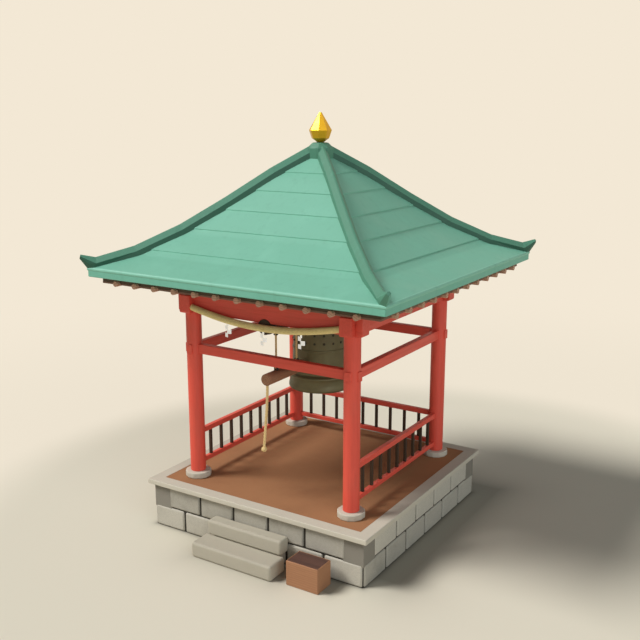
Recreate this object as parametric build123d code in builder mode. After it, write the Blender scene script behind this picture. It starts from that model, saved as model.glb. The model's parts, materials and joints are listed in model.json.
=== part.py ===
"""Temple bell pavilion: stone podium, four round pillars, curved hipped roof, bronze bell and
swinging striker log. Millimetres, +Z up, origin on the ground under the finial."""
from build123d import *
import os
from math import radians, sqrt, tan

os.makedirs("parts", exist_ok=True)

# ---------------------------------------------------------------- driving dimensions
# podium
podium_side = 4106.0            # outer faces of the stone courses at ground level
blocks_per_side = 6             # stones along one side of the lower course
lower_course_height = 373.0
upper_course_height = 375.0
facing_depth = 25.0             # how far the stones stand proud of the core
coping_side = 4244.0
coping_width = 211.0
coping_height = 86.0
coping_edge_radius = 16.0
floor_drop = 4.0                # floor lies this much below the coping's top

# steps, in front of the podium
step_rise = 250.0
lower_step_width = 1536.0
lower_step_depth = 395.0
upper_step_width = 1428.0
upper_step_depth = 227.0
step_overlap = 40.0             # upper step rests this far on the lower one
step_edge_radius = 30.0
bearer_inset = 110.0            # hidden bearer is this much shorter at each end

# pillars and their base stones
pillar_spacing = 3030.0
pillar_radius = 130.0
base_stone_radius = 222.0
base_stone_height = 101.0
base_stone_chamfer = 24.0
pillar_tenon = 90.0
tenon_clearance = 0.5

# tie beams
tie_width = 110.0
tie_height = 160.0
tie_underside = 3010.0
tie_end_stub = 15.0             # stub showing beyond the pillar

# head beams with their noses, and the wall plates on top
head_width = 210.0
head_height = 300.0
head_underside = 3710.0
nose_length = 225.0             # from pillar axis to nose end
nose_chamfer = 22.0
wall_plate_width = 150.0
wall_plate_height = 207.0

# railings on three sides
top_rail_width = 80.0
top_rail_height = 90.0
top_rail_level = 1555.0
bottom_rail_width = 70.0
bottom_rail_height = 80.0
bottom_rail_level = 1025.0
balusters_per_side = 9
baluster_pitch = 292.0
baluster_side = 46.0
cope_clearance = 0.2            # rail ends to the round pillars

# rafters and ceiling board
rafters_per_side = 12
rafter_radius = 45.0
rafter_corner_inset = 342.0     # outermost axes, inside the ceiling board's edge
rafter_overhang = 70.0          # past the ceiling board
rafter_inner_end = 1400.0       # inner ends, from the pavilion's axis
rafter_mitre_gap = 0.5
ceiling_setback = 155.0         # inside the eave's edge
ceiling_height = 80.0
rafter_housing = 49.0           # how far the rafters stand below the board

# roof
eave_side = 5350.0
eave_thickness = 126.0
eave_return = 180.0             # flat underside of the eave
roof_rise = 1742.0              # eave top edge to the shell's upper end
roof_top_half = 120.0           # shell's upper end, from the axis
roof_bends = [                  # shares of the run in from the eave, and of the rise
    (0.0, 0.0),
    (0.2035, 0.1125),
    (0.407, 0.2985),
    (0.6125, 0.5399),
    (0.818, 0.7997),
    (1.0, 1.0),
]
shell_thickness = 105.0
ridge_width = 205.0
ridge_height = 148.0
ridge_chamfer = 84.0
horn_reach = 83.0               # horn tip past the eave corner, along each side
horn_tip_rise = 172.0           # horn's lower tip above the eave's top edge
horn_top_rise = 232.0
horn_lip_reach = 12.0
horn_underside_slope = 2.0
horn_shoulder_share = 0.18      # share of the lowest run where the horn's top leaves the ridge's
cap_radius = 218.0
cap_height = 280.0
cap_chamfer = 84.0
cap_top_above_shell = 196.0
finial_foot_radius = 50.0
finial_ring_radius = 145.0
finial_ring_height = 70.0
finial_belly_radius = 189.0
finial_belly_height = 196.0
finial_tip_radius = 20.0
finial_height = 480.0

# bell beam: round log under the roof that carries the bell and the striker
bell_beam_radius = 125.0
bell_beam_axis_drop = 60.0      # axis below the head beams' underside
bell_beam_end_proud = 2.0
seat_clearance = 0.3
strap_thickness = 8.0
strap_width = 60.0
strap_ear = 70.0

# bell
bell_mouth_level = 2290.0
bell_mouth_radius = 540.0
bell_height = 1170.0
bell_lip_thickness = 78.0
bell_wall = 46.0
bell_foot_band = 270.0          # height of the thick band round the mouth
bell_waist_radius = 482.0
bell_shoulder_radius = 455.0
bell_shoulder_drop = 120.0      # shoulder below the crown
bell_belt_level = 690.0         # cast belt above the mouth
bell_belt_height = 36.0
bell_belt_proud = 9.0
bell_ridge_depth = 20.0         # step of the ridges round the foot band
bell_ridge_band = 45.0
lug_thickness = 50.0
lug_width = 150.0
lug_height = 190.0              # lug above the crown
lug_clearance = 1.0
bell_pin_radius = 20.0
bell_pin_drop = 40.0            # pin below the bell beam's axis
bell_pin_head_radius = 32.0
bell_pin_head_thickness = 12.0
pin_clearance = 0.3
stud_columns = 18
stud_rows = 2
stud_first_row = 840.0          # above the mouth
stud_row_pitch = 140.0
stud_radius = 13.0
stud_proud = 12.0
stud_root = 15.0                # how far a stud reaches into the wall
stud_turn = 10.0                # degrees of the first stud from +X

# striker
striker_radius = 95.0
striker_axis_level = 2790.0
striker_gap = 30.0              # rear end to the bell's lip
striker_front_overhang = 290.0  # front end past the front rope
striker_rear_overhang = 167.0
striker_edge_radius = 10.0
rope_setback = 140.0            # front rope behind the front tie beam's inner face
rope_radius = 18.0
clevis_pin_radius = 9.0
clevis_pin_standoff = 38.0      # pin axis to the log's surface
cheek_thickness = 10.0
cheek_gap = 34.0
cheek_length = 50.0
eye_thickness = 24.0
eye_radius = 26.0
eye_clearance = 0.5
open_eye_clearance = 1.5
splice_length = 46.0            # flat neck between an eye and the rope

# pull rope with its knob
pull_rope_radius = 23.0
pull_knob_radius = 46.0
pull_knob_drop = 36.8           # knob's centre below the rope's end
pull_knob_socket_radius = 27.6  # knob is open above the rope's end
pull_rope_inset = 44.0          # behind the striker's front end
pull_rope_bury = 30.0           # route starts this deep inside the striker, then is trimmed to it

# straw rope across the front, with paper streamers
straw_rope_radius = 50.0
straw_rope_gap = 4.0            # to the head beam's face
straw_rope_end_gap = 0.3        # trimmed ends to the noses
straw_rope_end_level = 3812.0
straw_rope_sag = 176.0
straw_rope_knots = [-1060.0, -560.0, 0.0, 540.0, 1040.0]
streamer_places = [-680.0, 10.0, 712.0]
streamer_square = 68.0
streamer_step = 62.0
streamer_side_step = 28.5       # leaves step this far to either side
streamer_thickness = 3.0
streamer_leaves = 3
streamer_head = 70.0            # from the rope's axis down to the first leaf, trimmed to the rope

# offertory box beside the steps
box_width = 565.0
box_depth = 370.0
box_height = 400.0
box_centre_x = 1280.0
box_front_distance = 500.0      # front face ahead of the podium
box_wall = 24.0
box_lid_height = 16.0
box_edge_radius = 12.0
box_rim = 13.0                  # rim of the body round the lid
box_lid_clearance = 0.5

# ---------------------------------------------------------------- derived places
podium_half = podium_side / 2
core_half = podium_half - facing_depth
course_top = lower_course_height + upper_course_height
corner_recess = podium_side / blocks_per_side / 2
coping_inner_half = coping_side / 2 - coping_width
floor_level = course_top + coping_height - floor_drop
pillar_half = pillar_spacing / 2
pillar_foot = floor_level + base_stone_height
tie_length = pillar_spacing + 2 * (pillar_radius + tie_end_stub)
head_length = pillar_spacing + 2 * nose_length
head_top = head_underside + head_height
head_face = pillar_half + head_width / 2
plate_top = head_top + wall_plate_height
rafter_axis = plate_top + rafter_radius
ceiling_bottom = plate_top + rafter_housing
eave_half = eave_side / 2
ceiling_half = eave_half - ceiling_setback
rafter_pitch = 2 * (ceiling_half - rafter_corner_inset) / (rafters_per_side - 1)
eave_bottom = ceiling_bottom + ceiling_height
eave_top = eave_bottom + eave_thickness
shell_top = eave_top + roof_rise
cap_top = shell_top + cap_top_above_shell
cap_bottom = cap_top - cap_height
bell_beam_level = head_underside - bell_beam_axis_drop
bell_beam_half = head_face + bell_beam_end_proud
bell_crown = bell_mouth_level + bell_height
bell_pin_level = bell_beam_level - bell_pin_drop
striker_top = striker_axis_level + striker_radius
striker_rear_end = bell_mouth_radius + striker_gap
rear_rope_distance = striker_rear_end + striker_rear_overhang
front_rope_distance = pillar_half - tie_width / 2 - rope_setback
striker_front_end = front_rope_distance + striker_front_overhang
pull_rope_exit = striker_front_end - pull_rope_inset
upper_pin_level = bell_beam_level - bell_beam_radius - clevis_pin_standoff
lower_pin_level = striker_top + clevis_pin_standoff
corners = {"front_left": (-1, -1), "front_right": (1, -1), "back_left": (-1, 1), "back_right": (1, 1)}
sides = {"front": (0, -1), "right": (1, 0), "back": (0, 1), "left": (-1, 0)}

# ---------------------------------------------------------------- podium
with BuildPart() as podium_core:
    Box(2 * core_half, 2 * core_half, course_top, align=(Align.CENTER, Align.CENTER, Align.MIN))
podium_core.part.label = "podium_core"
export_step(podium_core.part, "parts/podium_core.step")

# the courses face the core on each side; the lower one reaches its corners, and the upper one
# stops half a stone short of them
courses = {
    "lower": (0.0, lower_course_height, 2 * core_half),
    "upper": (lower_course_height, upper_course_height, podium_side - 2 * corner_recess),
}
for course_name, (level, height, length) in courses.items():
    with BuildPart() as course:
        with BuildSketch(Plane.XY.offset(level)):
            for angle in (0, 90, 180, 270):
                with Locations(Location((0, 0, 0), (0, 0, angle)) * Location((0, -core_half, 0))):
                    Rectangle(length, facing_depth, align=(Align.CENTER, Align.MAX))
        extrude(amount=height)
    course.part.label = f"podium_{course_name}_course"
    export_step(course.part, f"parts/podium_{course_name}_course.step")

with BuildPart() as podium_coping:
    with BuildSketch(Plane.XY.offset(course_top)):
        Rectangle(coping_side, coping_side)
        Rectangle(2 * coping_inner_half, 2 * coping_inner_half, mode=Mode.SUBTRACT)
    extrude(amount=coping_height)
    outer_faces = faces().filter_by(Axis.Z, reverse=True).sort_by(lambda f: -f.center().length)[:4]
    fillet(outer_faces.edges().filter_by(Axis.Z, reverse=True), radius=coping_edge_radius)
podium_coping.part.label = "podium_coping"
export_step(podium_coping.part, "parts/podium_coping.step")

with BuildPart() as floor_slab:
    with BuildSketch(Plane.XY.offset(course_top)):
        Rectangle(2 * coping_inner_half, 2 * coping_inner_half)
    extrude(amount=floor_level - course_top)
floor_slab.part.label = "floor_slab"
export_step(floor_slab.part, "parts/floor_slab.step")

# ---------------------------------------------------------------- steps
lower_step_back = podium_half + upper_step_depth - step_overlap
with BuildPart() as step_lower:
    with Locations((0, -lower_step_back, 0)):
        Box(lower_step_width, lower_step_depth, step_rise, align=(Align.CENTER, Align.MAX, Align.MIN))
    fillet(edges(), radius=step_edge_radius)
step_lower.part.label = "step_lower"
export_step(step_lower.part, "parts/step_lower.step")

with BuildPart() as step_upper:
    with Locations((0, -podium_half, step_rise)):
        Box(upper_step_width, upper_step_depth, step_rise, align=(Align.CENTER, Align.MAX, Align.MIN))
    fillet(edges(), radius=step_edge_radius)
step_upper.part.label = "step_upper"
export_step(step_upper.part, "parts/step_upper.step")

with BuildPart() as step_bearer:
    with Locations((0, -podium_half, 0)):
        Box(upper_step_width - 2 * bearer_inset, upper_step_depth - step_overlap, step_rise,
            align=(Align.CENTER, Align.MAX, Align.MIN))
step_bearer.part.label = "step_bearer"
export_step(step_bearer.part, "parts/step_bearer.step")

# ---------------------------------------------------------------- base stones and pillars
with BuildPart() as pillar_base_stones:
    with BuildSketch(Plane.XY.offset(floor_level)):
        with GridLocations(pillar_spacing, pillar_spacing, 2, 2):
            Circle(base_stone_radius)
    extrude(amount=base_stone_height)
    chamfer(edges().group_by(Axis.Z)[-1], length=base_stone_chamfer)
pillar_base_stones.part.label = "pillar_base_stones"
export_step(pillar_base_stones.part, "parts/pillar_base_stones.step")

tenon_height = head_height / 2
for corner, (sign_x, sign_y) in corners.items():
    x = sign_x * pillar_half
    y = sign_y * pillar_half
    with BuildPart() as pillar:
        with Locations((x, y, pillar_foot)):
            Cylinder(pillar_radius, head_underside - pillar_foot,
                     align=(Align.CENTER, Align.CENTER, Align.MIN))
        with Locations((x, y, head_underside)):
            Box(pillar_tenon, pillar_tenon, tenon_height, align=(Align.CENTER, Align.CENTER, Align.MIN))
        with Locations((x, y, tie_underside)):
            Box(2 * pillar_radius, tie_width, tie_height,
                align=(Align.CENTER, Align.CENTER, Align.MIN), mode=Mode.SUBTRACT)
            Box(tie_width, 2 * pillar_radius, tie_height,
                align=(Align.CENTER, Align.CENTER, Align.MIN), mode=Mode.SUBTRACT)
    pillar.part.label = f"pillar_{corner}"
    export_step(pillar.part, f"parts/pillar_{corner}.step")

# ---------------------------------------------------------------- tie beams, half-lapped in the pillars
for side, (out_x, out_y) in sides.items():
    along_x = out_y != 0
    size = (tie_length, tie_width) if along_x else (tie_width, tie_length)
    lap_level = tie_underside + (tie_height / 2 if along_x else 0)
    with BuildPart() as tie_beam:
        with Locations((out_x * pillar_half, out_y * pillar_half, tie_underside)):
            Box(*size, tie_height, align=(Align.CENTER, Align.CENTER, Align.MIN))
        for end in (-1, 1):
            lap_x = end * pillar_half if along_x else out_x * pillar_half
            lap_y = out_y * pillar_half if along_x else end * pillar_half
            with Locations((lap_x, lap_y, lap_level)):
                Box(tie_width, tie_width, tie_height / 2,
                    align=(Align.CENTER, Align.CENTER, Align.MIN), mode=Mode.SUBTRACT)
    tie_beam.part.label = f"tie_beam_{side}"
    export_step(tie_beam.part, f"parts/tie_beam_{side}.step")

# ---------------------------------------------------------------- head beams, half-lapped on the pillars
for side, (out_x, out_y) in sides.items():
    along_x = out_y != 0
    size = (head_length, head_width) if along_x else (head_width, head_length)
    lap_level = head_underside + (head_height / 2 if along_x else 0)
    with BuildPart() as head_beam:
        with Locations((out_x * pillar_half, out_y * pillar_half, head_underside)):
            Box(*size, head_height, align=(Align.CENTER, Align.CENTER, Align.MIN))
        end_faces = faces().filter_by(Axis.X if along_x else Axis.Y)
        chamfer(end_faces.edges().group_by(Axis.Z)[0], length=nose_chamfer)
        for end in (-1, 1):
            lap_x = end * pillar_half if along_x else out_x * pillar_half
            lap_y = out_y * pillar_half if along_x else end * pillar_half
            with Locations((lap_x, lap_y, lap_level)):
                Box(head_width, head_width, head_height / 2,
                    align=(Align.CENTER, Align.CENTER, Align.MIN), mode=Mode.SUBTRACT)
            if along_x:
                with Locations((lap_x, lap_y, head_underside)):
                    Box(pillar_tenon + 2 * tenon_clearance, pillar_tenon + 2 * tenon_clearance, tenon_height,
                        align=(Align.CENTER, Align.CENTER, Align.MIN), mode=Mode.SUBTRACT)
        if along_x:
            with Locations(Location((0, out_y * pillar_half, bell_beam_level), (90, 0, 0))):
                Cylinder(bell_beam_radius + seat_clearance, 2 * head_width, mode=Mode.SUBTRACT)
    head_beam.part.label = f"head_beam_{side}"
    export_step(head_beam.part, f"parts/head_beam_{side}.step")

with BuildPart() as wall_plate:
    with BuildSketch(Plane.XY.offset(head_top)):
        Rectangle(pillar_spacing + wall_plate_width, pillar_spacing + wall_plate_width)
        Rectangle(pillar_spacing - wall_plate_width, pillar_spacing - wall_plate_width, mode=Mode.SUBTRACT)
    extrude(amount=wall_plate_height)
wall_plate.part.label = "wall_plate"
export_step(wall_plate.part, "parts/wall_plate.step")

# ---------------------------------------------------------------- railings at the left, back and right
with BuildPart(mode=Mode.PRIVATE) as pillar_copes:
    with BuildSketch(Plane.XY.offset(floor_level)):
        with GridLocations(pillar_spacing, pillar_spacing, 2, 2):
            Circle(pillar_radius + cope_clearance)
    extrude(amount=head_underside - floor_level)

for side in ("left", "back", "right"):
    out_x, out_y = sides[side]
    turn = 0 if out_x == 0 else 90
    centre = Location((out_x * pillar_half, out_y * pillar_half, 0), (0, 0, turn))
    with BuildPart() as rails:
        with Locations(centre * Location((0, 0, top_rail_level))):
            Box(pillar_spacing, top_rail_width, top_rail_height,
                align=(Align.CENTER, Align.CENTER, Align.MIN))
        with Locations(centre * Location((0, 0, bottom_rail_level))):
            Box(pillar_spacing, bottom_rail_width, bottom_rail_height,
                align=(Align.CENTER, Align.CENTER, Align.MIN))
        add(pillar_copes.part, mode=Mode.SUBTRACT)
    rails.part.label = f"railing_{side}_rails"
    export_step(rails.part, f"parts/railing_{side}_rails.step")

    baluster_foot = bottom_rail_level + bottom_rail_height
    with BuildPart() as balusters:
        for index in range(balusters_per_side):
            offset_along = (index - (balusters_per_side - 1) / 2) * baluster_pitch
            with Locations(centre * Location((offset_along, 0, baluster_foot))):
                Box(baluster_side, baluster_side, top_rail_level - baluster_foot,
                    align=(Align.CENTER, Align.CENTER, Align.MIN))
    balusters.part.label = f"railing_{side}_balusters"
    export_step(balusters.part, f"parts/railing_{side}_balusters.step")

# ---------------------------------------------------------------- bell beam and its straps
with BuildPart() as bell_beam:
    with Locations(Location((0, 0, bell_beam_level), (90, 0, 0))):
        Cylinder(bell_beam_radius, 2 * bell_beam_half)
    slot_top = bell_crown + lug_height + lug_clearance
    with Locations((0, 0, slot_top)):
        Box(lug_thickness + 2 * lug_clearance, lug_width + 2 * lug_clearance, lug_height + bell_beam_radius,
            align=(Align.CENTER, Align.CENTER, Align.MAX), mode=Mode.SUBTRACT)
    with Locations(Location((0, 0, bell_pin_level), (0, 90, 0))):
        Cylinder(bell_pin_radius + pin_clearance, 4 * bell_beam_radius, mode=Mode.SUBTRACT)
bell_beam.part.label = "bell_beam"
export_step(bell_beam.part, "parts/bell_beam.step")

strap_inner = bell_beam_radius + seat_clearance
strap_outer = strap_inner + strap_thickness
strap_ear_centre = strap_outer + strap_ear / 2
with BuildPart() as bell_beam_straps:
    for end in (-1, 1):
        strap_plane = Plane(origin=(0, end * pillar_half, bell_beam_level), x_dir=(1, 0, 0), z_dir=(0, -1, 0))
        with BuildSketch(strap_plane):
            Circle(strap_outer)
            Rectangle(2 * strap_outer, bell_beam_axis_drop, align=(Align.CENTER, Align.MIN))
            Circle(strap_inner, mode=Mode.SUBTRACT)
            Rectangle(2 * strap_inner, bell_beam_axis_drop,
                      align=(Align.CENTER, Align.MIN), mode=Mode.SUBTRACT)
            with Locations((0, bell_beam_axis_drop)):
                Rectangle(2 * strap_outer, strap_outer, align=(Align.CENTER, Align.MIN), mode=Mode.SUBTRACT)
            with Locations((-strap_ear_centre, bell_beam_axis_drop), (strap_ear_centre, bell_beam_axis_drop)):
                Rectangle(strap_ear, strap_thickness, align=(Align.CENTER, Align.MAX))
        extrude(amount=strap_width / 2, both=True)
bell_beam_straps.part.label = "bell_beam_straps"
export_step(bell_beam_straps.part, "parts/bell_beam_straps.step")

# ---------------------------------------------------------------- bell, its pin and the clevises
bell_band_top = bell_mouth_level + bell_foot_band
bell_shoulder = bell_crown - bell_shoulder_drop
belt_bottom = bell_mouth_level + bell_belt_level
belt_top = belt_bottom + bell_belt_height


def bell_radius_at(level):
    """Outer radius of the plain bell wall at a level above the thick band."""
    share = (level - bell_band_top) / (bell_shoulder - bell_band_top)
    return bell_waist_radius + (bell_shoulder_radius - bell_waist_radius) * share


with BuildPart() as bell:
    with BuildSketch(Plane.XZ):
        with BuildLine():
            wall_foot = (bell_waist_radius, bell_band_top + bell_ridge_depth)
            wall = Polyline(
                (bell_mouth_radius - bell_lip_thickness, bell_mouth_level),
                (bell_mouth_radius - bell_ridge_depth, bell_mouth_level),
                (bell_mouth_radius, bell_mouth_level + bell_ridge_depth),
                (bell_mouth_radius, bell_mouth_level + bell_ridge_depth + bell_ridge_band),
                (bell_mouth_radius - bell_ridge_depth,
                 bell_mouth_level + 2 * bell_ridge_depth + bell_ridge_band),
                (bell_mouth_radius - bell_ridge_depth, bell_band_top - bell_ridge_depth - bell_ridge_band),
                (bell_mouth_radius - bell_ridge_depth / 4, bell_band_top - bell_ridge_band),
                (bell_mouth_radius - bell_ridge_depth / 4, bell_band_top - bell_ridge_depth),
                wall_foot,
                (bell_radius_at(belt_bottom), belt_bottom),
                (bell_radius_at(belt_bottom) + bell_belt_proud, belt_bottom),
                (bell_radius_at(belt_top) + bell_belt_proud, belt_top),
                (bell_radius_at(belt_top), belt_top),
                (bell_shoulder_radius, bell_shoulder),
            )
            crown = Bezier(wall @ 1, (bell_shoulder_radius, bell_crown - bell_shoulder_drop / 4),
                           (bell_shoulder_radius / 2, bell_crown), (0, bell_crown))
            axis_line = Line(crown @ 1, (0, bell_crown - bell_wall))
            inner_crown = Bezier(
                axis_line @ 1,
                (bell_shoulder_radius / 2, bell_crown - bell_wall),
                (bell_shoulder_radius - bell_wall, bell_crown - bell_wall - bell_shoulder_drop / 4),
                (bell_shoulder_radius - bell_wall, bell_shoulder - bell_wall),
            )
            Polyline(
                inner_crown @ 1,
                (bell_waist_radius - bell_wall, bell_band_top),
                (bell_mouth_radius - bell_lip_thickness, bell_mouth_level),
            )
        make_face()
    revolve(axis=Axis.Z)
    with Locations((0, 0, bell_crown - bell_wall / 2)):
        Box(lug_thickness, lug_width, lug_height + bell_wall / 2,
            align=(Align.CENTER, Align.CENTER, Align.MIN))
    with Locations(Location((0, 0, bell_pin_level), (0, 90, 0))):
        Cylinder(bell_pin_radius + pin_clearance, 2 * lug_thickness, mode=Mode.SUBTRACT)
    for row in range(stud_rows):
        level = bell_mouth_level + stud_first_row + row * stud_row_pitch
        for column in range(stud_columns):
            around = Location((0, 0, level), (0, 0, column * 360 / stud_columns + stud_turn))
            with Locations(around * Location((bell_radius_at(level) - stud_root, 0, 0), (0, 90, 0))):
                Cylinder(stud_radius, stud_root + stud_proud, align=(Align.CENTER, Align.CENTER, Align.MIN))
bell.part.label = "bell"
export_step(bell.part, "parts/bell.step")

with BuildPart() as bell_pin:
    with Locations(Location((0, 0, bell_pin_level), (0, 90, 0))):
        Cylinder(bell_pin_radius, 2 * (bell_beam_radius + bell_pin_head_thickness))
    for end in (-1, 1):
        head_centre = end * (bell_beam_radius + bell_pin_head_thickness / 2)
        with Locations(Location((head_centre, 0, bell_pin_level), (0, 90, 0))):
            Cylinder(bell_pin_head_radius, bell_pin_head_thickness)
bell_pin.part.label = "bell_pin"
export_step(bell_pin.part, "parts/bell_pin.step")

cheek_middle = (cheek_gap + cheek_thickness) / 2
clevis_outer = cheek_gap + 2 * cheek_thickness
rope_distances = (front_rope_distance, rear_rope_distance)


def clevis_cheeks(distance, pin_level, log_level):
    """Two cheeks from a log's surface past the pin, with the pin across them."""
    reach = abs(log_level - pin_level) + eye_radius
    up = 1 if log_level > pin_level else -1
    for cheek in (-1, 1):
        with Locations((cheek * cheek_middle, -distance, log_level - up * reach / 2)):
            Box(cheek_thickness, cheek_length, reach)
    with Locations(Location((0, -distance, pin_level), (0, 90, 0))):
        Cylinder(clevis_pin_radius, clevis_outer)


with BuildPart() as beam_clevises:
    for distance in rope_distances:
        clevis_cheeks(distance, upper_pin_level, bell_beam_level)
    with Locations(Location((0, 0, bell_beam_level), (90, 0, 0))):
        Cylinder(bell_beam_radius, 2 * bell_beam_half, mode=Mode.SUBTRACT)
beam_clevises.part.label = "beam_clevises"
export_step(beam_clevises.part, "parts/beam_clevises.step")

# ---------------------------------------------------------------- striker log on its two ropes
striker_length = striker_front_end - striker_rear_end
striker_centre = -(striker_front_end + striker_rear_end) / 2
with BuildPart() as striker_log:
    with Locations(Location((0, striker_centre, striker_axis_level), (90, 0, 0))):
        Cylinder(striker_radius, striker_length)
    fillet(edges(), radius=striker_edge_radius)
striker_log.part.label = "striker_log"
export_step(striker_log.part, "parts/striker_log.step")

with BuildPart() as striker_clevises:
    for distance in rope_distances:
        clevis_cheeks(distance, lower_pin_level, striker_axis_level)
    with Locations(Location((0, striker_centre, striker_axis_level), (90, 0, 0))):
        Cylinder(striker_radius, striker_length, mode=Mode.SUBTRACT)
striker_clevises.part.label = "striker_clevises"
export_step(striker_clevises.part, "parts/striker_clevises.step")

rope_kinds = {
    "front": (front_rope_distance, eye_clearance),
    "rear": (rear_rope_distance, open_eye_clearance),
}
for kind, (distance, lower_clearance) in rope_kinds.items():
    with BuildPart() as suspension_rope:
        rope_bottom = lower_pin_level + splice_length
        with Locations((0, -distance, rope_bottom)):
            Cylinder(rope_radius, upper_pin_level - lower_pin_level - 2 * splice_length,
                     align=(Align.CENTER, Align.CENTER, Align.MIN))
        for pin_level, clearance, up in (
            (upper_pin_level, eye_clearance, -1),
            (lower_pin_level, lower_clearance, 1),
        ):
            with Locations((0, -distance, pin_level + up * splice_length / 2)):
                Box(eye_thickness, 2 * rope_radius, splice_length)
            with Locations(Location((0, -distance, pin_level), (0, 90, 0))):
                Cylinder(eye_radius, eye_thickness)
                Cylinder(clevis_pin_radius + clearance, eye_thickness, mode=Mode.SUBTRACT)
    suspension_rope.part.label = f"suspension_rope_{kind}"
    export_step(suspension_rope.part, f"parts/suspension_rope_{kind}.step")


def turn_radii(points):
    """Radius of each tangent arc: 0.45 of the shorter run over the tangent of half the turn."""
    radii = []
    for before, here, after in zip(points, points[1:], points[2:]):
        run_in = Vector(here) - Vector(before)
        run_out = Vector(after) - Vector(here)
        half_turn = radians(run_in.get_angle(run_out)) / 2
        radii.append(0.45 * min(run_in.length, run_out.length) / tan(half_turn))
    print("arc radii", [round(value) for value in radii])
    return radii


def start_plane(points):
    """Plane across a route at its first point."""
    return Plane(origin=points[0], z_dir=Vector(points[1]) - Vector(points[0]))


pull_rope_points = [
    (0.0, -pull_rope_exit, striker_axis_level - striker_radius + pull_rope_bury),
    (-3.0, -pull_rope_exit - 8.0, striker_axis_level - 370.0),
    (-12.0, -pull_rope_exit - 34.0, striker_axis_level - 660.0),
    (-20.0, -pull_rope_exit - 62.0, striker_axis_level - 930.0),
    (-26.0, -pull_rope_exit - 76.0, striker_axis_level - 1108.6),
]
with BuildPart() as pull_rope:
    with BuildLine():
        FilletPolyline(*pull_rope_points, radius=turn_radii(pull_rope_points))
    with BuildSketch(start_plane(pull_rope_points)):
        Circle(pull_rope_radius)
    sweep()
    add(striker_log.part, mode=Mode.SUBTRACT)
pull_rope.part.label = "pull_rope"
export_step(pull_rope.part, "parts/pull_rope.step")

pull_rope_end = Vector(pull_rope_points[-1])
with BuildPart() as pull_rope_knob:
    with Locations(pull_rope_end - Vector(0, 0, pull_knob_drop)):
        Sphere(pull_knob_radius)
    add(pull_rope.part, mode=Mode.SUBTRACT)
    with Locations(pull_rope_end):
        Cylinder(pull_knob_socket_radius, pull_knob_radius, mode=Mode.SUBTRACT,
                 align=(Align.CENTER, Align.CENTER, Align.MIN))
pull_rope_knob.part.label = "pull_rope_knob"
export_step(pull_rope_knob.part, "parts/pull_rope_knob.step")

# ---------------------------------------------------------------- straw rope and paper streamers
straw_rope_y = -(head_face + straw_rope_radius + straw_rope_gap)
straw_rope_half = pillar_half - head_width / 2


def straw_rope_level(x):
    """Level of the sagging straw rope's axis at x."""
    return straw_rope_end_level - straw_rope_sag * (1 - (x / straw_rope_half) ** 2)


straw_rope_points = []
for x in (-straw_rope_half, *straw_rope_knots, straw_rope_half):
    straw_rope_points.append((x, straw_rope_y, straw_rope_level(x)))
with BuildPart() as straw_rope:
    with BuildLine():
        FilletPolyline(*straw_rope_points, radius=turn_radii(straw_rope_points))
    with BuildSketch(start_plane(straw_rope_points)):
        Circle(straw_rope_radius)
    sweep()
    with Locations((0, straw_rope_y, straw_rope_end_level)):
        Box(2 * (straw_rope_half - straw_rope_end_gap), 4 * straw_rope_radius, 4 * straw_rope_sag,
            mode=Mode.INTERSECT)
straw_rope.part.label = "straw_rope"
export_step(straw_rope.part, "parts/straw_rope.step")

with BuildPart() as paper_streamers:
    for place in streamer_places:
        top = straw_rope_level(place)
        streamer_plane = Plane(origin=(place, straw_rope_y, top), x_dir=(1, 0, 0), z_dir=(0, -1, 0))
        with BuildSketch(streamer_plane):
            for leaf in range(streamer_leaves):
                side_step = streamer_side_step * (1 if leaf % 2 else -1)
                with Locations((side_step, -straw_rope_radius - leaf * streamer_step)):
                    Rectangle(streamer_square, streamer_square, align=(Align.CENTER, Align.MAX))
            with Locations((0, -streamer_head / 2)):
                Rectangle(streamer_square, streamer_head)
        extrude(amount=streamer_thickness / 2, both=True)
    add(straw_rope.part, mode=Mode.SUBTRACT)
paper_streamers.part.label = "paper_streamers"
export_step(paper_streamers.part, "parts/paper_streamers.step")

# ---------------------------------------------------------------- ceiling board and rafters
with BuildPart() as ceiling_board:
    with BuildSketch(Plane.XY.offset(ceiling_bottom)):
        Rectangle(2 * ceiling_half, 2 * ceiling_half)
    extrude(amount=ceiling_height)
ceiling_board.part.label = "ceiling_board"
export_step(ceiling_board.part, "parts/ceiling_board.step")

rafter_outer_end = ceiling_half + rafter_overhang
rafter_length = rafter_outer_end - rafter_inner_end
for side, (out_x, out_y) in sides.items():
    outward = Vector(out_x, out_y, 0)
    along = Vector(-out_y, out_x, 0)
    with BuildPart() as rafters:
        for index in range(rafters_per_side):
            offset_along = (index - (rafters_per_side - 1) / 2) * rafter_pitch
            start = outward * rafter_inner_end + along * offset_along + Vector(0, 0, rafter_axis)
            with BuildSketch(Plane(origin=start, x_dir=along, z_dir=outward)):
                Circle(rafter_radius)
            extrude(amount=rafter_length)
        # mitre the short rafters towards the neighbouring side, then house them under the board
        with BuildSketch(Plane(origin=(0, 0, 0), x_dir=outward, z_dir=(0, 0, 1))):
            mitre_half = eave_half - rafter_mitre_gap
            Polygon((rafter_mitre_gap, 0), (eave_half, mitre_half), (eave_half, -mitre_half), align=None)
        extrude(amount=eave_top, mode=Mode.INTERSECT)
        add(ceiling_board.part, mode=Mode.SUBTRACT)
    rafters.part.label = f"rafters_{side}"
    export_step(rafters.part, f"parts/rafters_{side}.step")

# ---------------------------------------------------------------- roof cap
with BuildPart() as roof_cap:
    with BuildSketch(Plane.XY.offset(cap_bottom)):
        RegularPolygon(cap_radius, 8, rotation=22.5)
    extrude(amount=cap_height)
    chamfer(faces().sort_by(Axis.Z)[-1].edges(), length=cap_chamfer)
roof_cap.part.label = "roof_cap"
export_step(roof_cap.part, "parts/roof_cap.step")


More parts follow.
